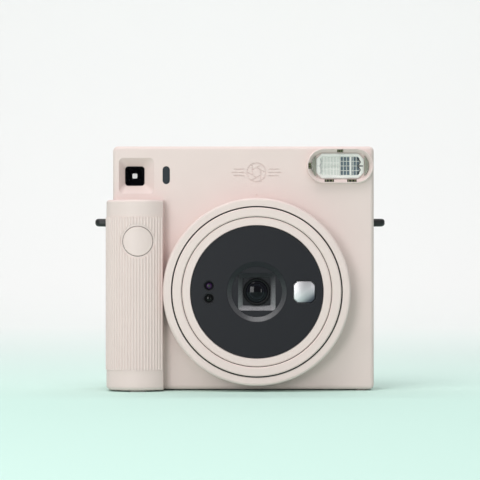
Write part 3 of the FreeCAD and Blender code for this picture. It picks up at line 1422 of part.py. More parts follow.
def make_rollers():
    half = d.slot_width / 2 + 1
    x = d.lens_at_x
    for name, y in roller_places().items():
        body = turned(
            f"{name}_roller_body",
            [
                (0, x - half - 7.6), (d.roller_shaft, x - half - 7.6),
                (d.roller_shaft, x - half - 0.2), (d.roller_radius, x - half - 0.2),
                (d.roller_radius, x + half + 0.2), (d.roller_shaft, x + half + 0.2),
                (d.roller_shaft, x + half + 3.6), (0, x + half + 3.6),
            ],
            (y, d.roller_at_z), "x",
        )
        publish(body, f"{name}_roller")
    plates = []
    rear_y, front_y = roller_places()["rear"] + 4.4, roller_places()["front"] - 4.4
    for name, low in (("left", x - half - 3.4), ("right", x + half + 1.4)):
        blank = box(
            f"bracket_{name}", (low, low + 1.5), (front_y, rear_y),
            (d.chamber_high + d.chamber_wall, TOP - d.wall - 0.3),
        )
        plates.append(blank)
    foot = box(
        "bracket_motor_plate", (x - half - 3.4, x - half - 1.9),
        (MOTOR_AT[0] - 6.6, d.chamber_front - d.chamber_wall - 0.2),
        (MOTOR_AT[1] - 6.4, TOP - d.wall - 0.3),
    )
    bridge = box(
        "bracket_bridge", (x - half - 3.4, x + half + 2.9), (front_y, front_y + 1.2),
        (TOP - d.wall - 3.3, TOP - d.wall - 0.3),
    )
    holes = [
        rod(
            f"bracket_bore_{name}", "x", d.roller_shaft + d.running, (y, d.roller_at_z),
            x - half - 9, x + half + 9,
        )
        for name, y in roller_places().items()
    ]
    holes.append(rod("bracket_motor_bore", "x", 1.2, MOTOR_AT, x - half - 9, x - half))
    idler_pin = rod("bracket_idler_pin", "x", 0.8, IDLER_AT, x - half - 7.2, x - half - 1.9)
    return publish(
        fuse(
            "roller_bracket",
            cut("bracket_plates", fuse("bracket_blank", *plates, foot, bridge), *holes), idler_pin,
        ),
        "roller_bracket",
    )


ROLLER_TEETH, IDLER_TEETH, PINION_TEETH = 18, 24, 12
MOTOR_AT = (size(-4.6), size(102.6))


def idler_place():
    """The idler meshes with the front roller's gear and the motor's pinion."""
    m = float(d.gear_module)
    a = (float(roller_places()["front"]), float(d.roller_at_z))
    b = (float(MOTOR_AT[0]), float(MOTOR_AT[1]))
    ra = m * (ROLLER_TEETH + IDLER_TEETH) / 2
    rb = m * (PINION_TEETH + IDLER_TEETH) / 2
    gap = math.hypot(b[0] - a[0], b[1] - a[1])
    along = (ra**2 - rb**2 + gap**2) / (2 * gap)
    up = math.sqrt(ra**2 - along**2)
    ux, uz = (b[0] - a[0]) / gap, (b[1] - a[1]) / gap
    return size(a[0] + ux * along + uz * up), size(a[1] + uz * along - ux * up)


IDLER_AT = idler_place()


def gear(name, teeth, at, phase, bore, x):
    """A spur gear along X: a disc and a pattern of teeth; phase is a tooth's middle, an angle."""
    body = doc.addObject("PartDesign::Body", name)
    sketch = sketch_in(body, name + "_disc", "yz", (x[0], at[0], at[1]))
    m = d.gear_module
    pitch_radius = m * teeth / 2
    circle(sketch, 0, 0, pitch_radius - 1.2 * m)
    circle(sketch, 0, 0, bore)
    pad(body, sketch, size(x[1]) - x[0], name + "_hub")
    tooth = sketch_in(body, name + "_tooth", "yz", (x[0], at[0], at[1]))
    widths = ((pitch_radius - 1.3 * m, 0.95), (pitch_radius, 0.68), (pitch_radius + 0.9 * m, 0.32))
    left, right = [], []
    turn = math.radians(phase)
    for radius, width in widths:
        half = width * float(m)
        for side, store in ((half, left), (-half, right)):
            u = radius * math.cos(turn) - side * math.sin(turn)
            v = radius * math.sin(turn) + side * math.cos(turn)
            store.append((u, v))
    outline(tooth, right + left[::-1])
    pad(body, tooth, size(x[1]) - x[0], name + "_tooth_pad")
    doc.recompute()
    pattern = body.newObject("PartDesign::PolarPattern", name + "_teeth")
    pattern.Originals = [body.Tip]
    pattern.Axis = (tooth, ["N_Axis"])
    pattern.Angle = 360
    pattern.Occurrences = teeth
    body.Tip = pattern
    return body


def make_drive():
    """Film drive: motor pinion, idler, and one gear on each roller's shaft, all in one plane."""
    half = d.slot_width / 2 + 1
    x = (d.lens_at_x - half - 6.0, d.lens_at_x - half - 6.0 + d.gear_width)
    front = (roller_places()["front"], d.roller_at_z)
    rear = (roller_places()["rear"], d.roller_at_z)

    def towards(a, b):
        return math.degrees(math.atan2(float(b[1]) - float(a[1]), float(b[0]) - float(a[0])))

    def meshed(driver_teeth, driver_phase, teeth, line):
        """Phase of a gear whose gap meets the driver's tooth on the line between them."""
        offset = (line - driver_phase) / (360 / driver_teeth)
        return line + 180 + (offset % 1) * 360 / teeth + 180 / teeth

    front_phase = towards(front, rear)
    publish(
        gear("front_roller_gear", ROLLER_TEETH, front, front_phase, d.roller_shaft, x),
        "front_roller_gear",
    )
    rear_phase = meshed(ROLLER_TEETH, front_phase, ROLLER_TEETH, front_phase)
    publish(
        gear("rear_roller_gear", ROLLER_TEETH, rear, rear_phase, d.roller_shaft, x),
        "rear_roller_gear",
    )
    idler_phase = meshed(ROLLER_TEETH, front_phase, IDLER_TEETH, towards(front, IDLER_AT))
    publish(gear("idler_gear", IDLER_TEETH, IDLER_AT, idler_phase, size(0.85), x), "idler_gear")
    pinion_phase = meshed(IDLER_TEETH, idler_phase, PINION_TEETH, towards(IDLER_AT, MOTOR_AT))
    publish(
        gear("motor_pinion", PINION_TEETH, MOTOR_AT, pinion_phase, size(0.75), x), "motor_pinion"
    )
    start = d.lens_at_x - half - 1.9
    can = rounded(
        rod("motor_can", "x", 5.9, MOTOR_AT, start, start + 18), 0.7,
        lambda p: near(p.x, start) or near(p.x, start + 18),
    )
    publish(can, "film_motor")
    publish(rod("motor_shaft_rod", "x", 0.75, MOTOR_AT, x[0] - 0.6, start), "motor_shaft")


def make_slot_trim():
    """Dark frame let into the top round the film exit."""
    half = d.slot_width / 2
    x = d.lens_at_x
    y = (d.film_plane - 3, d.film_plane + 3)
    blank = box("trim_blank", (x - half - 2, x + half + 2), y, (TOP - d.wall, TOP + 0.0))
    slot = box(
        "trim_slot", (x - half, x + half), (d.film_plane - 2.3, d.film_plane + 2.3),
        (TOP - d.wall - 1, TOP + 1),
    )
    return publish(cut("film_slot_trim", blank, slot), "film_slot_trim")


# ---------------------------------------------------------------- back cover
def make_back_cover():
    x, z = (d.cover_left, d.cover_right), (d.cover_low, d.cover_high)
    front, back = d.back_face + d.fit_gap, d.cover_back
    shell = housing_block("cover_block", x, (front, back), z, 4.0, 2.6, back)
    room = plate(
        "cover_room", (x[0] + d.cover_wall, x[1] - d.cover_wall), (front - 1, back - d.cover_wall),
        (z[0] + d.cover_wall, z[1] - d.cover_wall), 2.4,
    )
    half = d.chamber_width / 2 - 0.6
    lip_outer = plate(
        "cover_lip_outer", (d.lens_at_x - half, d.lens_at_x + half),
        (d.chamber_back + 0.5, back - d.cover_wall + 0.1),
        (d.chamber_low + 0.6, d.chamber_high - 0.6), 1.2,
    )
    lip_inner = box(
        "cover_lip_inner", (d.lens_at_x - half + 1.2, d.lens_at_x + half - 1.2),
        (d.chamber_back - 1, back - d.cover_wall), (d.chamber_low + 1.8, d.chamber_high - 1.8),
    )
    lip = cut("cover_lip", lip_outer, lip_inner)
    window = plate("cover_window_hole", WINDOW_X, (back - 5, back + 1), WINDOW_Z, 1.2)
    ledge = plate(
        "cover_window_ledge", (WINDOW_X[0] - 1, WINDOW_X[1] + 1),
        (back - 3, back - d.cover_wall + 0.9), (WINDOW_Z[0] - 1, WINDOW_Z[1] + 1), 1.6,
    )
    dish = box(
        "cover_latch_dish", (LATCH_X[0] - 0.3, LATCH_X[1] + 0.3), (back - 1.3, back + 1),
        (LATCH_Z[0] - 5.0, LATCH_Z[1] + 0.3),
    )
    slot = box("cover_latch_slot", (LATCH_X[0] + 0.7, LATCH_X[0] + 4.3), (back - 3, back),
               (LATCH_Z[0] - 2.4, LATCH_Z[1] - 1.6))
    eyes, holes = [], []
    for i, base in enumerate(HINGE_LOW):
        low, high = base + 5.3, base + 10.7
        eyes.append(
            rod(f"cover_eye_{i}", "z", d.knuckle_radius, (d.hinge_at_x, d.hinge_at_y), low, high)
        )
        eyes.append(
            box(
                f"cover_arm_{i}", (x[1] - 1.5, d.hinge_at_x),
                (d.hinge_at_y - 1.2, d.hinge_at_y + 1.2), (low, high),
            )
        )
        holes.append(
            rod(
                f"cover_eye_hole_{i}", "z", d.hinge_pin + d.running, (d.hinge_at_x, d.hinge_at_y),
                low - 1, high + 1,
            )
        )
    solid = fuse("cover_solid", cut("cover_hollow", shell, room), lip, *eyes)
    publish(cut("back_cover", solid, window, ledge, dish, slot, *holes), "back_cover")
    publish(
        plate(
            "film_check_window", (WINDOW_X[0] - 0.95, WINDOW_X[1] + 0.95),
            (back - d.cover_wall - 0.1, back - d.cover_wall + 0.85),
            (WINDOW_Z[0] - 0.95, WINDOW_Z[1] + 0.95), 1.55,
        ),
        "film_check_window",
    )
    pins = [
        rod(f"cover_pin_{i}", "z", d.hinge_pin, (d.hinge_at_x, d.hinge_at_y), base, base + 16)
        for i, base in enumerate(HINGE_LOW)
    ]
    return publish(group("cover_hinge_pins", *pins), "cover_hinge_pins")


WINDOW_X = (size(27.0), size(36.0))
WINDOW_Z = (size(50.0), size(74.0))
LATCH_X = (d.cover_left + 3.0, d.cover_left + 9.8)
LATCH_Z = (size(47.5), size(63.5))


def make_latch():
    """Thumb slide of the back cover, its stem, the plate inside and the two hooks."""
    back = d.cover_back
    thumb_pad = rounded(
        plate("latch_pad", LATCH_X, (back - 1.15, back - 0.05), LATCH_Z, 1.2), 0.3,
        lambda p: near(p.y, back - 0.05),
    )
    grooves = [
        box(
            f"latch_groove_{i}", (LATCH_X[0] + 1.4, LATCH_X[1] - 1.4), (back - 0.45, back + 1),
            (LATCH_Z[0] + 4 + 2 * i, LATCH_Z[0] + 4.8 + 2 * i),
        )
        for i in range(4)
    ]
    inside = (back - d.cover_wall - 1.2, back - d.cover_wall - 0.15)
    stem = box(
        "latch_stem", (LATCH_X[0] + 1.0, LATCH_X[0] + 4.0), (inside[0], back - 1.1),
        (LATCH_Z[0] + 2, LATCH_Z[1] - 2),
    )
    bar = box(
        "latch_bar", (d.cover_left + 2.6, d.cover_left + 7.4), inside,
        (LATCH_Z[0] - 4, LATCH_Z[1] + 3),
    )
    hooks = [
        box(
            f"latch_hook_{i}", (d.cover_left + 2.6, d.cover_left + 4.2),
            (d.back_face - 1.9, inside[1]), (z - 1.0, z + 1.6),
        )
        for i, z in enumerate(LATCH_HOOKS)
    ]
    return publish(
        fuse("cover_latch", cut("latch_pad_grooved", thumb_pad, *grooves), stem, bar, *hooks),
        "cover_latch",
    )


def make_pressure_springs():
    """Two bowed leaf springs on the cover that press on the film pack."""
    leaves = []
    back = float(d.cover_back - d.cover_wall) - 0.1
    for i, x in enumerate((float(d.lens_at_x) - 24, float(d.lens_at_x) + 10)):
        outer = Part.Arc(
            Vector(x, back, 30), Vector(x, back - 2.6, 50), Vector(x, back, 70)
        ).toShape()
        inner = Part.Arc(
            Vector(x, back - 0.35, 30.6), Vector(x, back - 2.95, 50), Vector(x, back - 0.35, 69.4)
        ).toShape()
        ends = [
            Part.LineSegment(outer.Vertexes[k].Point, inner.Vertexes[k].Point).toShape()
            for k in (0, 1)
        ]
        face = Part.Face(Part.Wire(Part.__sortEdges__([outer, inner, *ends])))
        leaf = doc.addObject("Part::Feature", f"spring_leaf_{i}")
        leaf.Shape = face.extrude(Vector(7, 0, 0))
        leaves.append(leaf)
    return publish(group("pressure_springs", *leaves), "pressure_springs")


# ---------------------------------------------------------------- small pieces
def make_strap_lug(name, side):
    """A D-shaped loop of round-cornered bar with a foot plate inside the wall."""
    sign = 1 if side > 0 else -1
    wall_face = RIGHT if sign > 0 else LEFT
    half = d.lug_length / 2 - 0.1
    low_z, high_z = d.lug_at_z - d.lug_height / 2 + 0.1, d.lug_at_z + d.lug_height / 2 - 0.1
    inner_face = wall_face - sign * (d.wall + 0.1)
    tip = sign * (RIGHT + d.lug_out)
    span = (inner_face, tip) if sign > 0 else (tip, inner_face)
    block = box(name + "_block", span, (LUG_AT_Y - half, LUG_AT_Y + half), (low_z, high_z))
    block = rounded(
        block, 3.0,
        lambda p: near(p.x, tip) and (near(p.y, LUG_AT_Y - half) or near(p.y, LUG_AT_Y + half)),
    )
    block = rounded(
        block, 1.45,
        lambda p: (
            near(p.z, low_z) or near(p.z, high_z)
        ) and abs(p.x) > abs(float(inner_face)) + 0.1,
    )
    bar = d.lug_bar
    hole_span = (inner_face - 3, tip - bar) if sign > 0 else (tip + bar, inner_face + 3)
    hole = plate(
        name + "_hole", hole_span, (LUG_AT_Y - half + bar, LUG_AT_Y + half - bar),
        (low_z - 1, high_z + 1), 1.2, along="z",
    )
    foot_span = (inner_face - 1.4, inner_face) if sign > 0 else (inner_face, inner_face + 1.4)
    foot = box(
        name + "_foot", foot_span, (LUG_AT_Y - half - 1.2, LUG_AT_Y + half - 0.5),
        (low_z - 2.2, high_z + 2.2),
    )
    return publish(fuse(name, cut(name + "_loop", block, hole), foot), name)


def make_feet():
    spots = (
        (-53.3, -45.7, -24.6, -17.6), (56.8, 61.7, -11.4, -5.4), (-53.3, -45.7, 13.4, 18.4),
        (56.8, 61.7, 13.4, 18.4),
    )
    pads = [
        plate(f"foot_{i}", (a, b), (c, e), (0, BASE), 1.0, along="z")
        for i, (a, b, c, e) in enumerate(spots)
    ]
    return publish(group("feet", *pads), "feet")


def make_screws():
    """Four cross-head case screws driven in from the back."""
    screws = []
    for name, (x, z, start) in SCREWS.items():
        top = d.back_face - 1.2
        body = turned(
            f"screw_{name}",
            [
                (0, start + 2), (THREAD_RADIUS - 0.02, start + 2),
                (THREAD_RADIUS - 0.02, top - 1.7), (HEAD_RADIUS, top - 1.7),
                (HEAD_RADIUS, top - 0.4), (HEAD_RADIUS - 0.5, top), (0, top),
            ],
            (size(x), size(z)),
        )
        cross = [box(f"screw_{name}_cross{k}", (x - w, x + w), (top - 0.8, top + 1), (z - h, z + h))
                 for k, (w, h) in enumerate(((1.3, 0.3), (0.3, 1.3)))]
        screws.append(cut(f"screw_{name}_cut", body, *cross))
    return publish(group("case_screws", *screws), "case_screws")


def make_counter():
    """Film counter wheel behind its window in the back."""
    x, z = d.finder_at_x, d.counter_at_z
    back = d.back_face - d.wall
    wheel = turned(
        "counter_disc",
        [
            (1.05, back - 2.0), (d.counter_radius, back - 2.0), (d.counter_radius, back - 0.8),
            (3.0, back - 0.8), (3.0, back - 0.3), (1.05, back - 0.3),
        ],
        (x, z),
    )
    notches = [
        rod(
            f"counter_notch_{i}", "y", 0.7,
            (
                x + (d.counter_radius + 0.2) * math.cos(math.radians(30 * i)),
                z + (d.counter_radius + 0.2) * math.sin(math.radians(30 * i)),
            ),
            back - 3, back,
        )
        for i in range(12)
    ]
    publish(cut("counter_wheel", wheel, *notches), "counter_wheel")
    publish(plate("counter_window", (x - 2.95, x + 2.95), (d.back_face - 1.5, d.back_face - 0.3),
                  (d.counter_at_z + 5.05, d.counter_at_z + 10.95), 0.75), "counter_window")


def make_board():
    """Main circuit board beside the film chamber, with a few components."""
    x = RIGHT - d.wall - 2.0
    board = box("board_sheet", (x, x + 1.0), (-9.5, 7.4), (12, 62))
    parts = [
        box("board_chip", (x - 1.6, x), (-6, 2), (40, 48)),
        box("board_transformer", (x - 6.0, x), (-8, 0), (50, 59)),
        rod("board_coil", "x", 3.0, (2.5, 34), x - 3.4, x),
        box("board_plug", (x - 3.6, x), (-7, 3), (15, 19)),
        box("board_chip_small", (x - 1.2, x), (-6, -2), (26, 31)),
    ]
    return publish(fuse("main_board", board, *parts), "main_board")


def make_claw():
    """The claw that pushes the exposed film up into the rollers, sliding beside the chamber."""
    x = d.lens_at_x - d.chamber_width / 2 - d.chamber_wall
    y = (d.chamber_front + 1.3, d.chamber_front + 3.7)
    bar = box("claw_bar", (x - 1.1, x - 0.15), y, (22, 60))
    hook = box("claw_hook", (x - 0.5, x + d.chamber_wall + 1.2), (y[0] + 0.2, y[1] - 0.2), (22, 24))
    return publish(fuse("film_claw", bar, hook), "film_claw")


def main():
    make_front_housing()
    make_rear_housing()
    make_grip_shell()
    make_battery_cover()
    make_batteries()
    make_shutter_button()
    make_power_ring()
    make_guide_tube()
    make_carrier()
    make_lens_barrel()
    make_face_plate()
    make_lens_hood()
    make_optics()
    make_flash()
    make_finder()
    make_film_chamber()
    make_rollers()
    make_drive()
    make_slot_trim()
    make_back_cover()
    make_latch()
    make_pressure_springs()
    make_strap_lug("strap_lug_left", -1)
    make_strap_lug("strap_lug_right", 1)
    make_feet()
    make_screws()
    make_counter()
    make_board()
    make_claw()
    doc.recompute()
    check_and_export()


def check_and_export():
    """Stops on a failed object or a bad shape, then writes one STEP file for each sub-part."""
    failed = [o.Name for o in doc.Objects if {"Invalid", "Error"} & set(o.State)]
    if failed:
        raise SystemExit(f"failed objects: {failed}")
    os.makedirs("parts", exist_ok=True)
    for old in os.listdir("parts"):
        os.remove(os.path.join("parts", old))
    for label, obj in NODES.items():
        shape = obj.Shape
        if shape.isNull() or not shape.isValid() or not shape.Solids:
            raise SystemExit(f"{label}: bad shape")
        shape.exportStep(f"parts/{label}.step")
        print(f"{label}: {len(shape.Solids)} solid(s), {shape.Volume:.0f} mm3")


main()
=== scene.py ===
"""Looks of the instant camera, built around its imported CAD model.

Lengths are metres in the frame's own axes: +Z is up and -Y is the front.
"""

import math

import bmesh
import bpy
from mathutils import Matrix, Vector


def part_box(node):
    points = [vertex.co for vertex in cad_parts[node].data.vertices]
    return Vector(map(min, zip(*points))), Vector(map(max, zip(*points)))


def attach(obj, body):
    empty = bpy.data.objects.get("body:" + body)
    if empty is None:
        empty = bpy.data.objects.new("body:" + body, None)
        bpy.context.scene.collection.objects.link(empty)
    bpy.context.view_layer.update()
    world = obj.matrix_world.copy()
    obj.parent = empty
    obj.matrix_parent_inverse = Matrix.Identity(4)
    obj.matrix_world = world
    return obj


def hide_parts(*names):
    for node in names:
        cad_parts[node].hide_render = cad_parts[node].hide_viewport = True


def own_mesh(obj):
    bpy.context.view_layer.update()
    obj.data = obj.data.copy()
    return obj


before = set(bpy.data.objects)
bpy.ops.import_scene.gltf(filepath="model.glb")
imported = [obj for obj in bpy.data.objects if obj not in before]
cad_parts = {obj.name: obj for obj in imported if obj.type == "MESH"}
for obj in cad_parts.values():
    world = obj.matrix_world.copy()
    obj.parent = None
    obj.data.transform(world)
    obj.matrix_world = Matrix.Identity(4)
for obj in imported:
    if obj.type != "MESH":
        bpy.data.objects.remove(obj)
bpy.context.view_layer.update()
MM = 0.001


# ---------------------------------------------------------------- places read from the frame
def middle(node):
    low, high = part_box(node)
    return (low + high) / 2


def front_of(node):
    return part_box(node)[0].y


def about(centre, width):
    """The two ends of a width about a centre."""
    return (centre - width / 2, centre + width / 2)


LENS = middle("power_ring")
FLASH = middle("flash_reflector")
FINDER = middle("finder_objective")


# ---------------------------------------------------------------- material tools
class Tree:
    """A short way to write a material's node tree."""

    def __init__(self, name):
        self.material = bpy.data.materials.new(name)
        self.material.use_nodes = True
        self.nodes = self.material.node_tree.nodes
        self.links = self.material.node_tree.links
        self.shader = self.nodes["Principled BSDF"]

    def add(self, kind, operation=None):
        node = self.nodes.new("ShaderNode" + kind)
        if operation:
            node.operation = operation
        return node

    def join(self, source, target):
        self.links.new(source, target)

    def feed(self, source, name):
        """Joins a result to one of the shader's own inputs."""
        self.join(source, self.shader.inputs[name])

    def set(self, **values):
        """Sets the shader's own inputs."""
        for key, value in values.items():
            self.shader.inputs[key.replace("_", " ")].default_value = value

    def place(self, scale=(1, 1, 1), origin=(0, 0, 0)):
        """Object coordinates, which are the frame's own metres, moved to an origin and scaled."""
        mapping = self.add("Mapping")
        mapping.inputs["Scale"].default_value = scale
        mapping.inputs["Location"].default_value = [-o * s for o, s in zip(origin, scale)]
        self.join(self.add("TexCoord").outputs["Object"], mapping.inputs["Vector"])
        return mapping.outputs["Vector"]

    def part(self, vector, axis):
        """One component of a vector."""
        node = self.add("SeparateXYZ")
        self.join(vector, node.inputs["Vector"])
        return node.outputs[axis]

    def length(self, vector):
        node = self.add("VectorMath", "LENGTH")
        self.join(vector, node.inputs[0])
        return node.outputs["Value"]

    def combine(self, operation, *values):
        """The result of a Math node on one or two values."""
        node = self.add("Math", operation)
        for value, socket in zip(values, node.inputs):
            self.join(value, socket)
        return node.outputs["Value"]

    def noise(self, scale, detail=3.0, rough=0.5, vector=None):
        node = self.add("TexNoise")
        node.inputs["Scale"].default_value = scale
        node.inputs["Detail"].default_value = detail
        node.inputs["Roughness"].default_value = rough
        self.join(vector or self.place(), node.inputs["Vector"])
        return node.outputs["Fac"]

    def ramp(self, value, stops, interpolation="LINEAR"):
        """A colour ramp over stops of (position, colour)."""
        node = self.add("ValToRGB")
        node.color_ramp.interpolation = interpolation
        elements = node.color_ramp.elements
        elements[0].position, elements[1].position = stops[0][0], stops[-1][0]
        for position, _ in stops[1:-1]:
            elements.new(position)
        for element, (_, colour) in zip(elements, stops):
            element.color = (*colour, 1)
        self.join(value, node.inputs["Fac"])
        return node.outputs["Color"]

    def span(self, value, low, high, start=0.0, end=1.0):
        """Maps value from start..end onto low..high."""
        node = self.add("MapRange")
        limits = {"From Min": start, "From Max": end, "To Min": low, "To Max": high}
        for key, number in limits.items():
            node.inputs[key].default_value = number
        self.join(value, node.inputs["Value"])
        return node.outputs["Result"]

    def bump(self, height, strength, distance):
        """Adds a bump on top of the bumps already there."""
        node = self.add("Bump")
        node.inputs["Strength"].default_value = strength
        node.inputs["Distance"].default_value = distance
        self.join(height, node.inputs["Height"])
        normal = self.shader.inputs["Normal"]
        if normal.is_linked:
            self.join(normal.links[0].from_socket, node.inputs["Normal"])
        self.join(node.outputs["Normal"], normal)

    def colour(self, low, high, fac):
        """A base colour that wanders between two tones."""
        self.feed(self.ramp(fac, [(0.3, low), (0.7, high)]), "Base Color")

    def gloss(self, fac, low, high, start=0.0, end=1.0):
        """A roughness that wanders between two values."""
        self.feed(self.span(fac, low, high, start, end), "Roughness")


def shade(colour, factor):
    return tuple(min(1.0, c * factor) for c in colour)


BLUSH = (0.745, 0.608, 0.578)
JET = (0.006, 0.006, 0.007)
COAL = (0.0080, 0.0075, 0.0115)
RING_PLASTIC = (shade(BLUSH, 1.02), 0.38, 3200.0, 0.3, 0.010, 0.4)


# ---------------------------------------------------------------- material recipes
def moulded(name, colour, rough, grain=2600.0, depth=0.5, mottle=0.03, specular=0.5):
    """Moulded plastic: a spark-eroded grain, slight colour mottle and uneven gloss."""
    tree = Tree(name)
    tree.set(IOR=1.5, Specular_IOR_Level=specular)
    tree.colour(shade(colour, 1 - mottle), shade(colour, 1 + mottle), tree.noise(55.0, 4.0))
    tree.gloss(tree.noise(160.0, 3.0), rough - 0.04, rough + 0.04, 0.3, 0.7)
    tree.bump(tree.noise(grain, 2.0, 0.6), depth, 0.00002)
    tree.bump(tree.noise(90.0, 2.0), 0.12, 0.00004)
    return tree


def painted_shade_ring(name, node, bore, depth):
    """The lens rings' plastic with painted shade: black beyond a depth from its front, in mm, and
    on its bore past a short lip, where the gaps fall into shade.
    """
    lip = 4.0
    tree = moulded(name, *RING_PLASTIC)
    behind = tree.part(tree.place((1 / MM,) * 3, (0, front_of(node), 0)), "Y")
    radius = tree.length(tree.place((1 / MM, 0, 1 / MM), LENS))
    on_bore = tree.combine(
        "MULTIPLY",
        tree.span(radius, 1.0, 0.0, bore + 0.4, bore + 0.5),
        tree.span(behind, 0.0, 1.0, lip, lip + 0.2),
    )
    # painted shade: black deep in the gaps and on the bore
    black = tree.combine("MAXIMUM", on_bore, tree.span(behind, 0.0, 1.0, depth, depth + 0.3))
    mix = tree.add("MixRGB")
    tree.join(black, mix.inputs["Fac"])
    tree.join(tree.shader.inputs["Base Color"].links[0].from_socket, mix.inputs["Color1"])
    mix.inputs["Color2"].default_value = (*JET, 1)
    tree.feed(mix.outputs["Color"], "Base Color")
    return tree


def metal(name, colour, rough):
    """Drawn metal: fine lines along one direction."""
    tree = Tree(name)
    tree.set(Metallic=1.0)
    lines = tree.noise(900.0, 3.0, 0.6, tree.place((1, 1, 40)))
    tree.colour(shade(colour, 0.88), colour, lines)
    tree.gloss(lines, rough - 0.07, rough + 0.1)
    tree.bump(lines, 0.25, 0.00001)
    return tree


def clear(name, colour, ior, rough=0.01):
    """Clear solid glass, with a trace of flow marks."""
    tree = Tree(name)
    tree.set(Transmission_Weight=1.0, IOR=ior)
    tree.colour(shade(colour, 0.98), colour, tree.noise(120.0))
    tree.gloss(tree.noise(300.0), rough, rough + 0.03)
    tree.bump(tree.noise(140.0), 0.05, 0.00005)
    return tree


def thin_clear(name, colour, alpha, rough=0.06, specular=0.8):
    """Thin clear moulding that lets light straight through, with faint flow marks."""
    tree = Tree(name)
    tree.set(Alpha=alpha, Specular_IOR_Level=specular)
    tree.colour(shade(colour, 0.96), colour, tree.noise(150.0))
    tree.gloss(tree.noise(300.0), rough, rough + 0.05)
    tree.bump(tree.noise(140.0), 0.05, 0.00005)
    return tree


def bordered_clear(name, colour, centre, reach):
    """A clear cover whose two ends, up to reach from its centre, are grey-green and less clear, as
    painted shade over the shelves behind them.
    """
    plain, painted_shade_veil, thinner = 0.03, 0.62, 0.46
    tree = thin_clear(name, colour, 0.06, 0.04)
    across = tree.part(tree.place((1 / reach, 0, 0), centre), "X")
    # painted shade: the cover's ends turn grey-green and less clear
    veil = tree.ramp(tree.combine("ABSOLUTE", across), [
        (0.0, (plain,) * 3), (0.815, (plain,) * 3), (0.845, (painted_shade_veil,) * 3),
        (0.97, (thinner,) * 3), (1.0, (plain,) * 3),
    ])
    tree.feed(veil, "Alpha")
    return tree


def glint_glass(name, stops, centre, radius, rough):
    """Dark glass whose base colour holds a painted reflection that changes from the centre
    outwards.
    """
    tree = Tree(name)
    distance = tree.length(tree.place((1 / radius, 0, 1 / radius), centre))
    tree.feed(tree.ramp(distance, stops), "Base Color")
    tree.set(Specular_IOR_Level=0.16)
    tree.gloss(tree.noise(400.0), rough, rough + 0.03)
    return tree


def silvered(name, centre, reach, rough):
    """Convex mirror: silver with a painted reflection of the bright side of the room that fades to
    the dark side.
    """
    tree = Tree(name)
    tree.set(Metallic=1.0)
    across = tree.add("VectorMath", "DOT_PRODUCT")
    across.inputs[1].default_value = (0.62, 0.0, -0.78)
    tree.join(tree.place((1 / reach,) * 3, centre), across.inputs[0])
    share = tree.span(across.outputs["Value"], 0.0, 1.0, -1.0, 1.0)
    # painted reflection: bright at the upper left, fading to dark at the lower right
    tint = tree.ramp(share, [
        (0.0, (0.50, 0.485, 0.495)), (0.30, (0.50, 0.485, 0.50)), (0.52, (0.58, 0.56, 0.58)),
        (0.68, (0.42, 0.41, 0.435)), (0.84, (0.10, 0.10, 0.125)), (1.0, (0.05, 0.05, 0.065)),
    ])
    tree.feed(tint, "Base Color")
    tree.gloss(tree.noise(60.0), rough, rough + 0.04)
    return tree


def gritty(name, node, depths, grit, painted_sheen):
    """Black plastic with a coarse grit between two depths, in mm, with painted light: the grit is
    paler and glossier towards its lower side, where light from above falls.
    """
    low, high = depths
    deepest, edge = 10.0, 0.02
    tree = Tree(name)
    place = tree.place((1 / MM,) * 3, (0, front_of(node), LENS.z))
    recess = tree.ramp(tree.span(tree.part(place, "Y"), 0.0, 1.0, 0.0, deepest), [
        (low / deepest, (0, 0, 0)), (low / deepest + edge, (1, 1, 1)),
        (high / deepest, (1, 1, 1)), (high / deepest + edge, (0, 0, 0)),
    ])
    # painted light: the grit turns paler towards the lower side, as if lit from above
    lower = tree.span(tree.part(place, "Z"), 1.0, 0.12, -7.0, 8.0)
    painted_light = tree.combine("MULTIPLY", recess, lower)
    speckle = tree.span(tree.noise(1900.0, 3.0, 0.7), 0.45, 1.0, 0.35, 0.65)
    amount = tree.combine("MULTIPLY", painted_light, speckle)
    tree.feed(tree.ramp(amount, [(0.0, COAL), (1.0, grit)]), "Base Color")
    # painted sheen: the specular level rises where the painted light is
    tree.feed(tree.span(painted_light, 0.26, painted_sheen), "Specular IOR Level")
    tree.gloss(painted_light, 0.46, 0.38)
    tree.bump(tree.noise(3000.0, 2.0, 0.6), 0.35, 0.00002)
    return tree


def cell_wrap(name, low, length, colours):
    """The cells' plain sleeve: metal, grey, a band and metal again, once in each length."""
    end, grey, band = colours
    tree = Tree(name)
    height = tree.part(tree.place((1, 1, 1 / length), (0, 0, low)), "Z")
    stops = [(0.0, end), (0.03, grey), (0.70, band), (0.94, end)]
    tree.feed(tree.ramp(tree.combine("FRACT", height), stops, "CONSTANT"), "Base Color")
    tree.gloss(tree.noise(350.0), 0.22, 0.32)
    tree.set(Metallic=0.4)
    tree.bump(tree.noise(220.0), 0.1, 0.00004)
    return tree


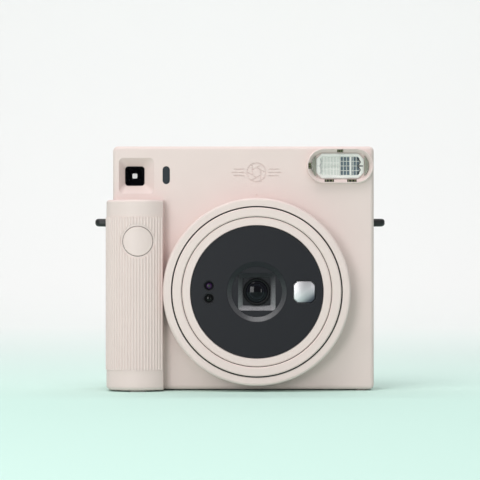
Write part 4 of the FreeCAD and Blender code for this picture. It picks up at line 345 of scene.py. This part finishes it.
# ---------------------------------------------------------------- materials and the CAD nodes
PLASTICS = {
    # key: name, colour, roughness, grain, grain's depth, mottle, specular
    "shell": ("shell_plastic", BLUSH, 0.46, 2400.0, 0.5, 0.012, 0.4),
    "velvet": ("black_flock", (0.0028, 0.0028, 0.0040), 0.9, 1800.0, 0.7, 0.10, 0.04),
    "dark": ("dark_plastic", (0.014, 0.014, 0.016), 0.4, 2600.0, 0.4, 0.05, 0.35),
    "black": ("black_plastic", JET, 0.6, 1800.0, 0.7, 0.08, 0.18),
    "lug": ("lug_plastic", (0.012, 0.0115, 0.013), 0.36, 2600.0, 0.4, 0.05, 0.45),
    "smoke": ("smoke_window", (0.032, 0.038, 0.045), 0.14, 900.0, 0.02, 0.03, 0.35),
    "white": ("white_acetal", (0.70, 0.70, 0.67), 0.4, 2400.0, 0.3, 0.02),
    "rubber": ("foot_rubber", (0.35, 0.30, 0.285), 0.75, 1400.0, 0.8, 0.08),
    # painted shade: black for the rings in the gaps round the power ring
    "foam": ("seal_foam", (0.012, 0.012, 0.012), 0.95, 900.0, 1.0, 0.2, 0.2),
    "board": ("board_mask", (0.015, 0.10, 0.055), 0.35, 1500.0, 0.3, 0.1),
    "frost": ("frosted_prism", (0.68, 0.68, 0.645), 0.30, 1200.0, 0.2, 0.05),
    "frame": ("prism_frame", (0.89, 0.86, 0.83), 0.34, 1800.0, 0.2, 0.02),
    # painted reflection: the dark blue-grey that the right half of the prisms reflects
    "slate": ("slate_prism", (0.115, 0.155, 0.190), 0.16, 900.0, 0.2, 0.25, 0.8),
    "painted_tab_shade": ("tab_shade", (0.012, 0.014, 0.007), 0.4, 1800.0, 0.2, 0.10, 0.2),
    "straw": ("tab_rib", (0.26, 0.27, 0.13), 0.3, 1800.0, 0.2, 0.05),
    "ink": ("counter_ink", (0.02, 0.02, 0.02), 0.5, 3000.0, 0.1, 0.1),
}
CELLS_LOW, CELLS_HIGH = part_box("lithium_cells")
CELL_GAP = 0.4 * MM
RECIPES = {key: moulded(*settings) for key, settings in PLASTICS.items()}
RECIPES.update({
    # the lens rings carry painted shade in their gaps
    "ring": painted_shade_ring("ring_plastic", "power_ring", 36.3, 14.0),
    "carrier": painted_shade_ring("carrier_plastic", "lens_carrier", 34.0, 20.5),
    "barrel": painted_shade_ring("barrel_plastic", "lens_barrel", 32.0, 12.0),
    # face and hood: grit with painted light and painted sheen on its lower side
    "face": gritty("face_plastic", "face_plate", (0.05, 3.0), (0.075, 0.073, 0.078), 0.65),
    "hood": gritty("hood_plastic", "lens_hood", (0.05, 4.3), (0.40, 0.39, 0.405), 0.8),
    "wrap": cell_wrap("cell_wrap", CELLS_LOW.z, (CELLS_HIGH.z - CELLS_LOW.z + CELL_GAP) / 2,
                      ((0.62, 0.62, 0.60), (0.42, 0.44, 0.45), (0.09, 0.17, 0.24))),
    "steel": metal("drawn_steel", (0.55, 0.55, 0.56), 0.3),
    # the mirror's silver carries a painted reflection
    "mirror": silvered("mirror_silver", middle("selfie_mirror"), 7.0 * MM, 0.30),
    "clear": thin_clear("clear_window", (0.50, 0.56, 0.50), 0.16),
    "cover": bordered_clear("clear_cover", (0.30, 0.31, 0.255), FLASH, 14.3 * MM),
    "glass": clear("tube_glass", (0.985, 0.99, 0.99), 1.52),
    "pane": thin_clear("coated_pane", (0.006, 0.006, 0.010), 0.08, 0.03, 0.15),
    "lens": clear("lens_glass", (0.50, 0.52, 0.60), 1.6),
})
MATERIALS = {key: tree.material for key, tree in RECIPES.items()}
NODE_MATERIALS = {
    "shell": "front_housing rear_housing grip_shell battery_cover back_cover cover_latch"
             " shutter_button",
    "ring": "power_ring",
    "carrier": "lens_carrier",
    "barrel": "lens_barrel",
    "face": "face_plate",
    "hood": "lens_hood",
    "dark": "film_slot_trim eyepiece_frame",
    "lug": "strap_lug_left strap_lug_right",
    "black": "battery_holder release_switch lens_guide_tube finder_tube film_chamber shutter_base"
             " shutter_cover shutter_blade_left shutter_blade_right flash_capacitor",
    "smoke": "light_sensor_window",
    "white": "front_roller_gear rear_roller_gear idler_gear motor_pinion counter_wheel",
    "rubber": "feet",
    "board": "main_board",
    "wrap": "lithium_cells",
    "steel": "battery_cover_pin battery_contacts button_spring film_motor cover_hinge_pins"
             " case_screws motor_shaft cam_pins roller_bracket front_roller rear_roller"
             " pressure_springs film_claw",
    "frame": "flash_reflector",
    "clear": "counter_window film_check_window",
    "cover": "flash_cover",
    "glass": "flash_tube",
    "pane": "eyepiece_lens finder_objective",
    "lens": "rear_lens",
}


def dress(obj, material):
    """Gives every slot of an object one material."""
    if not obj.data.materials:
        obj.data.materials.append(material)
    for i in range(len(obj.data.materials)):
        obj.data.materials[i] = material


for key, names in NODE_MATERIALS.items():
    for node_name in names.split():
        dress(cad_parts[node_name], MATERIALS[key])


# ---------------------------------------------------------------- mesh tools
def as_piece(name, form, material, body, sharp=35.0):
    """Turns a bmesh into a smooth-shaded piece that rides on a body."""
    bmesh.ops.recalc_face_normals(form, faces=form.faces)
    mesh = bpy.data.meshes.new(name)
    form.to_mesh(mesh)
    form.free()
    for polygon in mesh.polygons:
        polygon.use_smooth = True
    mesh.set_sharp_from_angle(angle=math.radians(sharp))
    obj = bpy.data.objects.new(name, mesh)
    bpy.context.collection.objects.link(obj)
    dress(obj, material)
    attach(obj, body)
    return obj


def bridge(form, rings):
    """Faces between each ring of vertices and the next; a ring may be a single vertex."""
    faces = []
    for a, b in zip(rings, rings[1:]):
        steps = max(len(a), len(b))
        for i in range(steps):
            j = (i + 1) % steps
            corners = [a[i % len(a)], a[j % len(a)], b[j % len(b)], b[i % len(b)]]
            unique = list(dict.fromkeys(corners))
            if len(unique) > 2:
                faces.append(form.faces.new(unique))
    return faces


def push(grown, y):
    """Moves an extrusion's new vertices to a depth."""
    for item in grown["geom"]:
        if isinstance(item, bmesh.types.BMVert):
            item.co.y = y


def lathe(name, profile, axis, material, body, steps=96, sharp=35.0):
    """Turns a closed profile of (radius, y) round an axis along Y through axis.x, axis.z."""
    turns = [2 * math.pi * i / steps for i in range(steps)]
    form = bmesh.new()
    rings = []
    for radius, y in profile:
        if radius < 1e-7:
            rings.append([form.verts.new((axis.x, y, axis.z))])
        else:
            rings.append([
                form.verts.new((axis.x + radius * math.cos(t), y, axis.z + radius * math.sin(t)))
                for t in turns
            ])
    bridge(form, rings + rings[:1])
    return as_piece(name, form, material, body, sharp)


def cap_profile(radius, bulge, rim_y, back_y, steps=14):
    """Profile of a lens: a spherical cap towards -Y over a cylindrical rim."""
    ball = (radius * radius + bulge * bulge) / (2 * bulge)
    apex = rim_y - bulge
    cap = []
    for i in range(steps + 1):
        r = radius * i / steps
        cap.append((r, apex + ball - math.sqrt(ball * ball - r * r)))
    return cap + [(radius, back_y), (0.0, back_y)]


def clipped_points(centre, width, height, corner):
    """Corners of a rectangle with clipped corners, as (x, z)."""
    w, h = width / 2, height / 2
    return [
        (centre.x + u, centre.z + v) for u, v in (
            (w, corner - h), (w, h - corner), (w - corner, h), (corner - w, h),
            (-w, h - corner), (-w, corner - h), (corner - w, -h), (w - corner, -h),
        )
    ]


def divided(points, parts):
    """The same outline with each side divided into parts."""
    result = []
    for (u0, v0), (u1, v1) in zip(points, points[1:] + points[:1]):
        result += [
            (u0 + (u1 - u0) * k / parts, v0 + (v1 - v0) * k / parts) for k in range(parts)
        ]
    return result


def slab(name, points, y, material, body, edge=0.1 * MM, hole=None):
    """A flat outline extruded between two Y values, its edges rounded; hole is a second outline."""
    form = bmesh.new()
    outer = [form.verts.new((u, y[0], v)) for u, v in points]
    if hole:
        inner = [form.verts.new((u, y[0], v)) for u, v in hole]
        front = bridge(form, [outer, inner])
    else:
        front = [form.faces.new(outer)]
    push(bmesh.ops.extrude_face_region(form, geom=front), y[1])
    bmesh.ops.recalc_face_normals(form, faces=form.faces)
    borders = [e for e in form.edges if len(e.link_faces) == 2 and e.calc_face_angle() > 0.6]
    bmesh.ops.bevel(form, geom=borders, offset=edge, segments=2, affect="EDGES", profile=0.5)
    return as_piece(name, form, material, body)


def block(name, x, y, z, material, body, edge=0.1 * MM):
    """A small bar between two values on each axis, its edges rounded."""
    points = [(x[0], z[0]), (x[1], z[0]), (x[1], z[1]), (x[0], z[1])]
    return slab(name, points, y, material, body, edge)


def domed_plate(name, centre, points, y, bevel, curve, material, body):
    """A plate with a bevelled rim round a shallow dome; y is its apex and its back."""
    apex, back = y
    drop, inset = bevel
    sections = [(1.0, back - apex, False), (1.0, drop, True), (inset, 0.0, True)]
    sections += [(inset * step / 6, 0.0, True) for step in (5, 4, 3, 2, 1)]
    form = bmesh.new()
    rings = []
    for scale, depth, bowed in sections:
        ring = []
        for u, v in points:
            x, z = (u - centre.x) * scale, (v - centre.z) * scale
            sag = (x * x + z * z) / (2 * curve) if bowed else 0.0
            ring.append(form.verts.new((centre.x + x, apex + depth + sag, centre.z + z)))
        rings.append(ring)
    tip = form.verts.new((centre.x, apex, centre.z))
    bridge(form, rings + [[tip]])
    form.faces.new(rings[0])
    return as_piece(name, form, material, body, sharp=14.0)


def prism_sheet(name, x, z, y, cells, border, depth, thickness, materials, body):
    """A moulded sheet of small framed cells; materials are the borders' and the cells' own."""
    columns, rows = cells
    form = bmesh.new()
    grid = []
    for i in range(columns + 1):
        u = x[0] + (x[1] - x[0]) * i / columns
        grid.append([
            form.verts.new((u, y, z[0] + (z[1] - z[0]) * j / rows)) for j in range(rows + 1)
        ])
    panes = [
        form.faces.new((grid[i][j], grid[i + 1][j], grid[i + 1][j + 1], grid[i][j + 1]))
        for i in range(columns) for j in range(rows)
    ]
    form.normal_update()
    bmesh.ops.inset_individual(form, faces=panes, thickness=border, depth=0.0)
    for pane in panes:
        pane.material_index = 1
        for vert in pane.verts:
            vert.co.y += depth
    rim = [e for e in form.edges if e.is_boundary]
    push(bmesh.ops.extrude_edge_only(form, edges=rim), y + thickness)
    bmesh.ops.contextual_create(form, geom=[e for e in form.edges if e.is_boundary])
    sheet = as_piece(name, form, materials[0], body, sharp=15.0)
    sheet.data.materials.append(materials[1])
    return sheet


def wire(name, points, thickness, material, body):
    """A thin wire bent through the points."""
    curve = bpy.data.curves.new(name, "CURVE")
    curve.dimensions = "3D"
    curve.bevel_depth = thickness / 2
    curve.bevel_resolution = 2
    spline = curve.splines.new("POLY")
    spline.points.add(len(points) - 1)
    for target, point in zip(spline.points, points):
        target.co = (*point, 1)
    curve.materials.append(material)
    obj = bpy.data.objects.new(name, curve)
    bpy.context.collection.objects.link(obj)
    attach(obj, body)


# ---------------------------------------------------------------- lens
def make_lens():
    """The front element in its retaining ring."""
    low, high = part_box("front_lens")
    rim = low.y + 1.1 * MM
    radius = (high.x - low.x) / 2
    glass_radius = radius - 1.15 * MM
    lathe("lens_retainer", [
        (glass_radius, rim + 0.1 * MM), (radius - 0.95 * MM, rim - 0.35 * MM),
        (radius - 0.35 * MM, rim - 0.55 * MM), (radius, rim - 0.1 * MM), (radius, high.y),
        (glass_radius, high.y),
    ], LENS, MATERIALS["black"], "inner_barrel")
    # painted reflection: faint lighter rings in the dark front element
    stops = [(0.0, (0.002, 0.002, 0.003)), (0.50, (0.002, 0.002, 0.004)),
             (0.66, (0.010, 0.011, 0.016)), (0.72, (0.002, 0.002, 0.003)),
             (0.90, (0.007, 0.007, 0.011)), (1.0, (0.002, 0.002, 0.003))]
    glint_material = glint_glass("lens_painted_glint", stops, LENS, glass_radius, 0.03).material
    element = lathe("lens_element", cap_profile(glass_radius, 1.0 * MM, rim + 0.3 * MM, high.y),
                    LENS, glint_material, "inner_barrel", sharp=60.0)
    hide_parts("front_lens")


def make_mirror():
    """The convex self-portrait mirror with its bevelled rim."""
    low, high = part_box("selfie_mirror")
    centre = (low + high) / 2
    side = high.x - low.x
    corner, bevel, curve = 1.9 * MM, (0.22 * MM, 0.90), 42.0 * MM
    outline = divided(clipped_points(centre, side, side, corner), 6)
    glass = domed_plate("mirror_glass", centre, outline, (low.y, high.y), bevel, curve,
                        MATERIALS["mirror"], "inner_barrel")
    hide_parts("selfie_mirror")


def make_gap_shades():
    """Black rings put into the gaps on both sides of the power ring as painted shade."""
    low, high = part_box("power_ring")
    barrel_low, barrel_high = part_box("lens_barrel")
    outer, inner = (high.x - low.x) / 2, (barrel_high.x - barrel_low.x) / 2
    for name, body, radii, depth in (
        ("ring_gap_shade", "camera_body", (outer + 0.06 * MM, outer + 0.49 * MM), 0.7 * MM),
        ("barrel_gap_shade", "power_ring", (inner + 0.05 * MM, inner + 0.29 * MM), 0.8 * MM),
    ):
        y = (low.y + depth, low.y + depth + 0.8 * MM)
        lathe(name, [(radii[0], y[0]), (radii[1], y[0]), (radii[1], y[1]), (radii[0], y[1])],
              LENS, MATERIALS["foam"], body)


def make_meter_windows():
    """Two small round windows: a bezel, a funnel and a lens with a painted glint in each."""
    low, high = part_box("meter_windows")
    radius = (high.x - low.x) / 2
    x = (low.x + high.x) / 2
    # painted glints: green and purple in the upper lens, a grey rim in the lower one
    painted_glints = {
        "upper": [(0.0, (0.03, 0.10, 0.02)), (0.18, (0.03, 0.05, 0.02)), (0.4, (0.05, 0.012, 0.07)),
                  (0.75, (0.012, 0.006, 0.02)), (1.0, (0.004, 0.004, 0.005))],
        "lower": [(0.0, (0.003, 0.003, 0.003)), (0.6, (0.004, 0.004, 0.004)),
                  (0.8, (0.010, 0.010, 0.011)), (0.9, (0.004, 0.004, 0.004)),
                  (1.0, (0.003, 0.003, 0.003))],
    }
    for name, z in (("upper", high.z - radius), ("lower", low.z + radius)):
        centre = Vector((x, 0, z))
        bezel = lathe(f"meter_bezel_{name}", [
            (radius - 0.75 * MM, low.y + 0.75 * MM), (radius - 0.25 * MM, low.y + 0.05 * MM),
            (radius, low.y + 0.05 * MM), (radius, high.y), (radius - 0.75 * MM, high.y),
        ], centre, MATERIALS["dark"], "inner_barrel", 48)
        eye = radius - 0.7 * MM
        glint_material = glint_glass(f"meter_painted_glint_{name}", painted_glints[name], centre, eye, 0.06).material
        lens = lathe(f"meter_lens_{name}",
                     cap_profile(eye, 0.5 * MM, low.y + 0.85 * MM, high.y, 8), centre, glint_material,
                     "inner_barrel", 48, sharp=60.0)
        for piece in (bezel, lens):
            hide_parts("meter_windows")


# ---------------------------------------------------------------- flash
def make_flash():
    """The prism plate between the clear cover and the reflector, in its white frame."""
    reflector_low, reflector_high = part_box("flash_reflector")
    cover_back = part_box("flash_cover")[1].y
    y = (cover_back + 0.10 * MM, reflector_low.y - 0.08 * MM)
    width, height = reflector_high.x - reflector_low.x, reflector_high.z - reflector_low.z
    border_x, border_z, clip, gap = 2.1 * MM, 1.5 * MM, 2.8 * MM, 0.05 * MM
    opening = clipped_points(FLASH, width - 2 * border_x, height - 2 * border_z, 1.0 * MM)
    slab("prism_frame", clipped_points(FLASH, width, height, clip), y, MATERIALS["frame"],
         "camera_body", 0.12 * MM, hole=opening)
    half_x, half_z = width / 2 - border_x - gap, height / 2 - border_z - gap
    z = about(FLASH.z, 2 * half_z)
    near, level = y[0] + 0.02 * MM, y[0] + 0.3 * MM
    for name, x, cells, border, pair in (
        ("prisms_frosted", (FLASH.x - half_x, FLASH.x - gap), (6, 3), 0.24, ("frame", "frost")),
        # the right half's cells carry a painted reflection
        ("prisms_painted_reflection", (FLASH.x + gap, FLASH.x + half_x), (6, 4), 0.22, ("frost", "slate")),
    ):
        prism_sheet(name, x, z, level, cells, border * MM, 0.1 * MM, 0.25 * MM,
                    [MATERIALS[key] for key in pair], "camera_body")
    for name, offset, band in (("wide", 5.2, 0.84), ("fine", 6.4, 0.24), ("edge", 0.2, 0.20)):
        block(f"prism_band_{name}", about(FLASH.x + offset * MM, band * MM), (near, level), z,
              MATERIALS["frame"], "camera_body", 0.05 * MM)
    block("prism_split", about(FLASH.x, 2 * half_x), (near, level), about(FLASH.z, 0.20 * MM),
          MATERIALS["frost"], "camera_body", 0.04 * MM)
    make_flash_wires(near, half_x, half_z)
    make_flash_tabs()


def make_flash_wires(y, half_x, half_z):
    """The bent wires at both ends of the tube, seen through the prisms."""
    bends, reach, inset, swing = 5, 0.84, 0.2 * MM, 0.65 * MM
    for name, side, material, gauge in (
        ("left", -1, "steel", 0.25 * MM),
        ("right", 1, "ink", 0.55 * MM),
    ):
        points = []
        for step in range(bends):
            x = FLASH.x + side * (half_x - inset) + swing * (1 if step % 2 else -1)
            points.append((x, y, FLASH.z + half_z * reach * (1 - 2 * step / (bends - 1))))
        wire(f"flash_wire_{name}", points, gauge, MATERIALS[material], "camera_body")
        end = FLASH.x + side * (half_x + 1.6 * MM)
        lead = [(end, y, FLASH.z), (end - side * 1.7 * MM, y, FLASH.z)]
        wire(f"flash_lead_{name}", lead, gauge, MATERIALS[material], "camera_body")


def make_flash_tabs():
    """Dark blocks as painted shade behind the cover's four clear tabs, each with three moulded
    ribs.
    """
    low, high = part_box("flash_cover")
    tab, narrow, wide = 1.35 * MM, 2.9 * MM, 4.5 * MM
    rib, margin, ribs = 0.32 * MM, 0.1 * MM, 3
    shade_y = (low.y + 0.45 * MM, low.y + 0.75 * MM)
    rib_y = (low.y + 0.2 * MM, low.y + 0.55 * MM)
    for name, x, z in (
        ("top", about(FLASH.x, narrow), (high.z - tab, high.z)),
        ("low_left", about(FLASH.x - 5.3 * MM, wide), (low.z, low.z + tab)),
        ("low_right", about(FLASH.x + 5.7 * MM, wide), (low.z, low.z + tab)),
        ("left", (low.x, low.x + tab), about(FLASH.z, narrow)),
    ):
        # painted shade: a dark block behind each tab
        block(f"tab_shade_block_{name}", x, shade_y, z, MATERIALS["painted_tab_shade"], "camera_body", 0.05 * MM)
        for i in range(ribs):
            share = (i + 0.5) / ribs
            if x[1] - x[0] > z[1] - z[0]:
                rib_x = about(x[0] + (x[1] - x[0]) * share, rib)
                rib_z = (z[0] + margin, z[1] - margin)
            else:
                rib_x = (x[0] + margin, x[1] - margin)
                rib_z = about(z[0] + (z[1] - z[0]) * share, rib)
            block(f"tab_rib_{name}_{i}", rib_x, rib_y, rib_z, MATERIALS["straw"],
                  "camera_body", 0.04 * MM)


# ---------------------------------------------------------------- viewfinder
def make_finder():
    """Black frames inside the finder; the last one leaves a small square of light.

    Their openings lean towards the subject in front of the lens, as a finder's do for parallax.
    """
    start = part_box("finder_objective")[1].y + 0.35 * MM
    pitch, thickness, side = 2.4 * MM, 0.8 * MM, 8.7 * MM
    subject_distance = 1.1
    lean = (FINDER - LENS) / subject_distance
    for i, opening in enumerate((7.4, 6.0, 4.6, 2.4)):
        front = start + i * pitch
        hole = FINDER + lean * (front - FINDER.y)
        slab(f"finder_step_{i}", clipped_points(FINDER, side, side, 0.5 * MM),
             (front, front + thickness), MATERIALS["velvet"], "camera_body", 0.12 * MM,
             hole=clipped_points(hole, opening * MM, opening * MM, 0.3 * MM))


# ---------------------------------------------------------------- shutter button's spring
def make_button_spring():
    """The coil under the shutter button."""
    low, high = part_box("button_spring")
    centre = (low + high) / 2
    gauge = 0.25 * MM
    reach = (high.x - low.x) / 2 - gauge
    turns, around, steps = 5, 10, 160
    form = bmesh.new()
    rings = []
    for i in range(steps + 1):
        angle = 2 * math.pi * turns * i / steps
        y = low.y + gauge + (high.y - low.y - 2 * gauge) * i / steps
        ring = []
        for k in range(around):
            turn = 2 * math.pi * k / around
            radius = reach + gauge * math.cos(turn)
            ring.append(form.verts.new((
                centre.x + radius * math.cos(angle), y + gauge * math.sin(turn),
                centre.z + radius * math.sin(angle),
            )))
        rings.append(ring)
    bridge(form, rings)
    form.faces.new(rings[0])
    form.faces.new(rings[-1])
    coil = as_piece("button_coil", form, MATERIALS["steel"], "camera_body", sharp=60.0)
    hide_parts("button_spring")
    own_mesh(coil)


# ---------------------------------------------------------------- film counter
def make_counter_digits():
    """Exposure numbers round the counter wheel, each upright when it is behind the window."""
    low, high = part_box("counter_wheel")
    centre = (low + high) / 2
    reach = (high.x - low.x) / 2 - 2.6 * MM
    face = high.y - 0.5 * MM + 0.02 * MM
    shots, spacing = 10, -30
    upright = Matrix(((-1, 0, 0, 0), (0, 0, 1, 0), (0, 1, 0, 0), (0, 0, 0, 1)))
    for i in range(shots + 1):
        number = str(shots - i)
        text = bpy.data.curves.new(f"counter_digit_{number}", "FONT")
        text.body = number
        text.size = 3.0 * MM
        text.align_x, text.align_y = "CENTER", "CENTER"
        text.extrude = 0.03 * MM
        text.materials.append(MATERIALS["ink"])
        obj = bpy.data.objects.new(f"counter_digit_{number}", text)
        bpy.context.collection.objects.link(obj)
        turn = Matrix.Rotation(math.radians(spacing * i), 4, "Y")
        spot = Vector((centre.x, face, centre.z)) + turn @ Vector((0, 0, reach))
        obj.matrix_world = Matrix.Translation(spot) @ turn @ upright
        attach(obj, "counter_wheel")


# ---------------------------------------------------------------- stage, light and camera
def make_floor():
    """A pale floor that turns up into a brighter backdrop far behind the object."""
    near, depth, bend, height, half, steps = -2.6, 1.1, 0.5, 2.2, 4.0, 12
    profile = [(near, 0.0), (depth, 0.0)]
    for i in range(1, steps + 1):
        angle = math.pi / 2 * i / steps
        profile.append((depth + bend * math.sin(angle), bend * (1 - math.cos(angle))))
    profile.append((depth + bend, height))
    verts = [(x, y, z) for y, z in profile for x in (-half, half)]
    faces = [(2 * i, 2 * i + 1, 2 * i + 3, 2 * i + 2) for i in range(len(profile) - 1)]
    mesh = bpy.data.meshes.new("floor")
    mesh.from_pydata(verts, [], faces)
    for polygon in mesh.polygons:
        polygon.use_smooth = True
    floor = bpy.data.objects.new("floor", mesh)
    bpy.context.collection.objects.link(floor)
    tree = Tree("floor_paper")
    tree.set(Roughness=0.9)
    fade = tree.span(tree.part(tree.place(), "Y"), 0.0, 1.0, -0.1, depth + 0.2)
    tint = tree.ramp(fade, [(0.0, (0.58, 0.80, 0.72)), (0.45, (0.70, 0.79, 0.755)),
                            (1.0, (0.84, 0.84, 0.83))])
    tree.feed(tint, "Base Color")
    dress(floor, tree.material)


def make_light(name, place, target, size, power, colour=(1, 1, 1)):
    """A rectangular soft light that faces its target."""
    light = bpy.data.lights.new(name, "AREA")
    light.shape = "RECTANGLE"
    light.size, light.size_y = size
    light.energy = power
    light.color = colour
    obj = bpy.data.objects.new(name, light)
    bpy.context.collection.objects.link(obj)
    obj.location = place
    obj.rotation_euler = (Vector(target) - Vector(place)).to_track_quat("-Z", "Y").to_euler()


def make_lights():
    target = (0, 0, 0.06)
    make_light("key", (-0.55, -0.85, 1.10), target, (1.0, 0.7), 5.2, (1.0, 0.99, 0.98))
    make_light("window", (-0.34, -1.04, 0.14), target, (0.28, 0.56), 4.3)
    make_light("strip", (0.33, -1.0, 0.02), target, (0.07, 0.42), 0.55)
    make_light("overhead", (-0.05, -0.38, 1.15), target, (0.8, 0.45), 4.4)
    make_light("top", (0.0, 0.35, 1.4), target, (1.4, 0.8), 2.0)
    make_light("backdrop_wash", (0.0, 0.7, 1.5), (0, 1.6, 0.4), (2.6, 0.5), 15.5)
    world = bpy.data.worlds.new("studio")
    world.use_nodes = True
    background = world.node_tree.nodes["Background"]
    background.inputs["Color"].default_value = (0.97, 0.97, 1.0, 1)
    background.inputs["Strength"].default_value = 0.36
    bpy.context.scene.world = world


def make_camera():
    """Level, straight-on view with a long lens from about a metre; the shift adds room above."""
    distance, height = 1.064, 0.0598
    data = bpy.data.cameras.new("view")
    data.sensor_width = 36.0
    data.lens = 161.4
    data.shift_y = 0.0583
    data.clip_start = 0.05
    camera = bpy.data.objects.new("view", data)
    bpy.context.collection.objects.link(camera)
    camera.location = (0.0, -distance, height)
    camera.rotation_euler = (math.radians(90), 0, 0)
    bpy.context.scene.camera = camera


make_lens()
make_mirror()
make_gap_shades()
make_meter_windows()
make_flash()
make_finder()
make_button_spring()
make_counter_digits()
make_floor()
make_lights()
make_camera()
bpy.context.scene.view_settings.view_transform = "Standard"
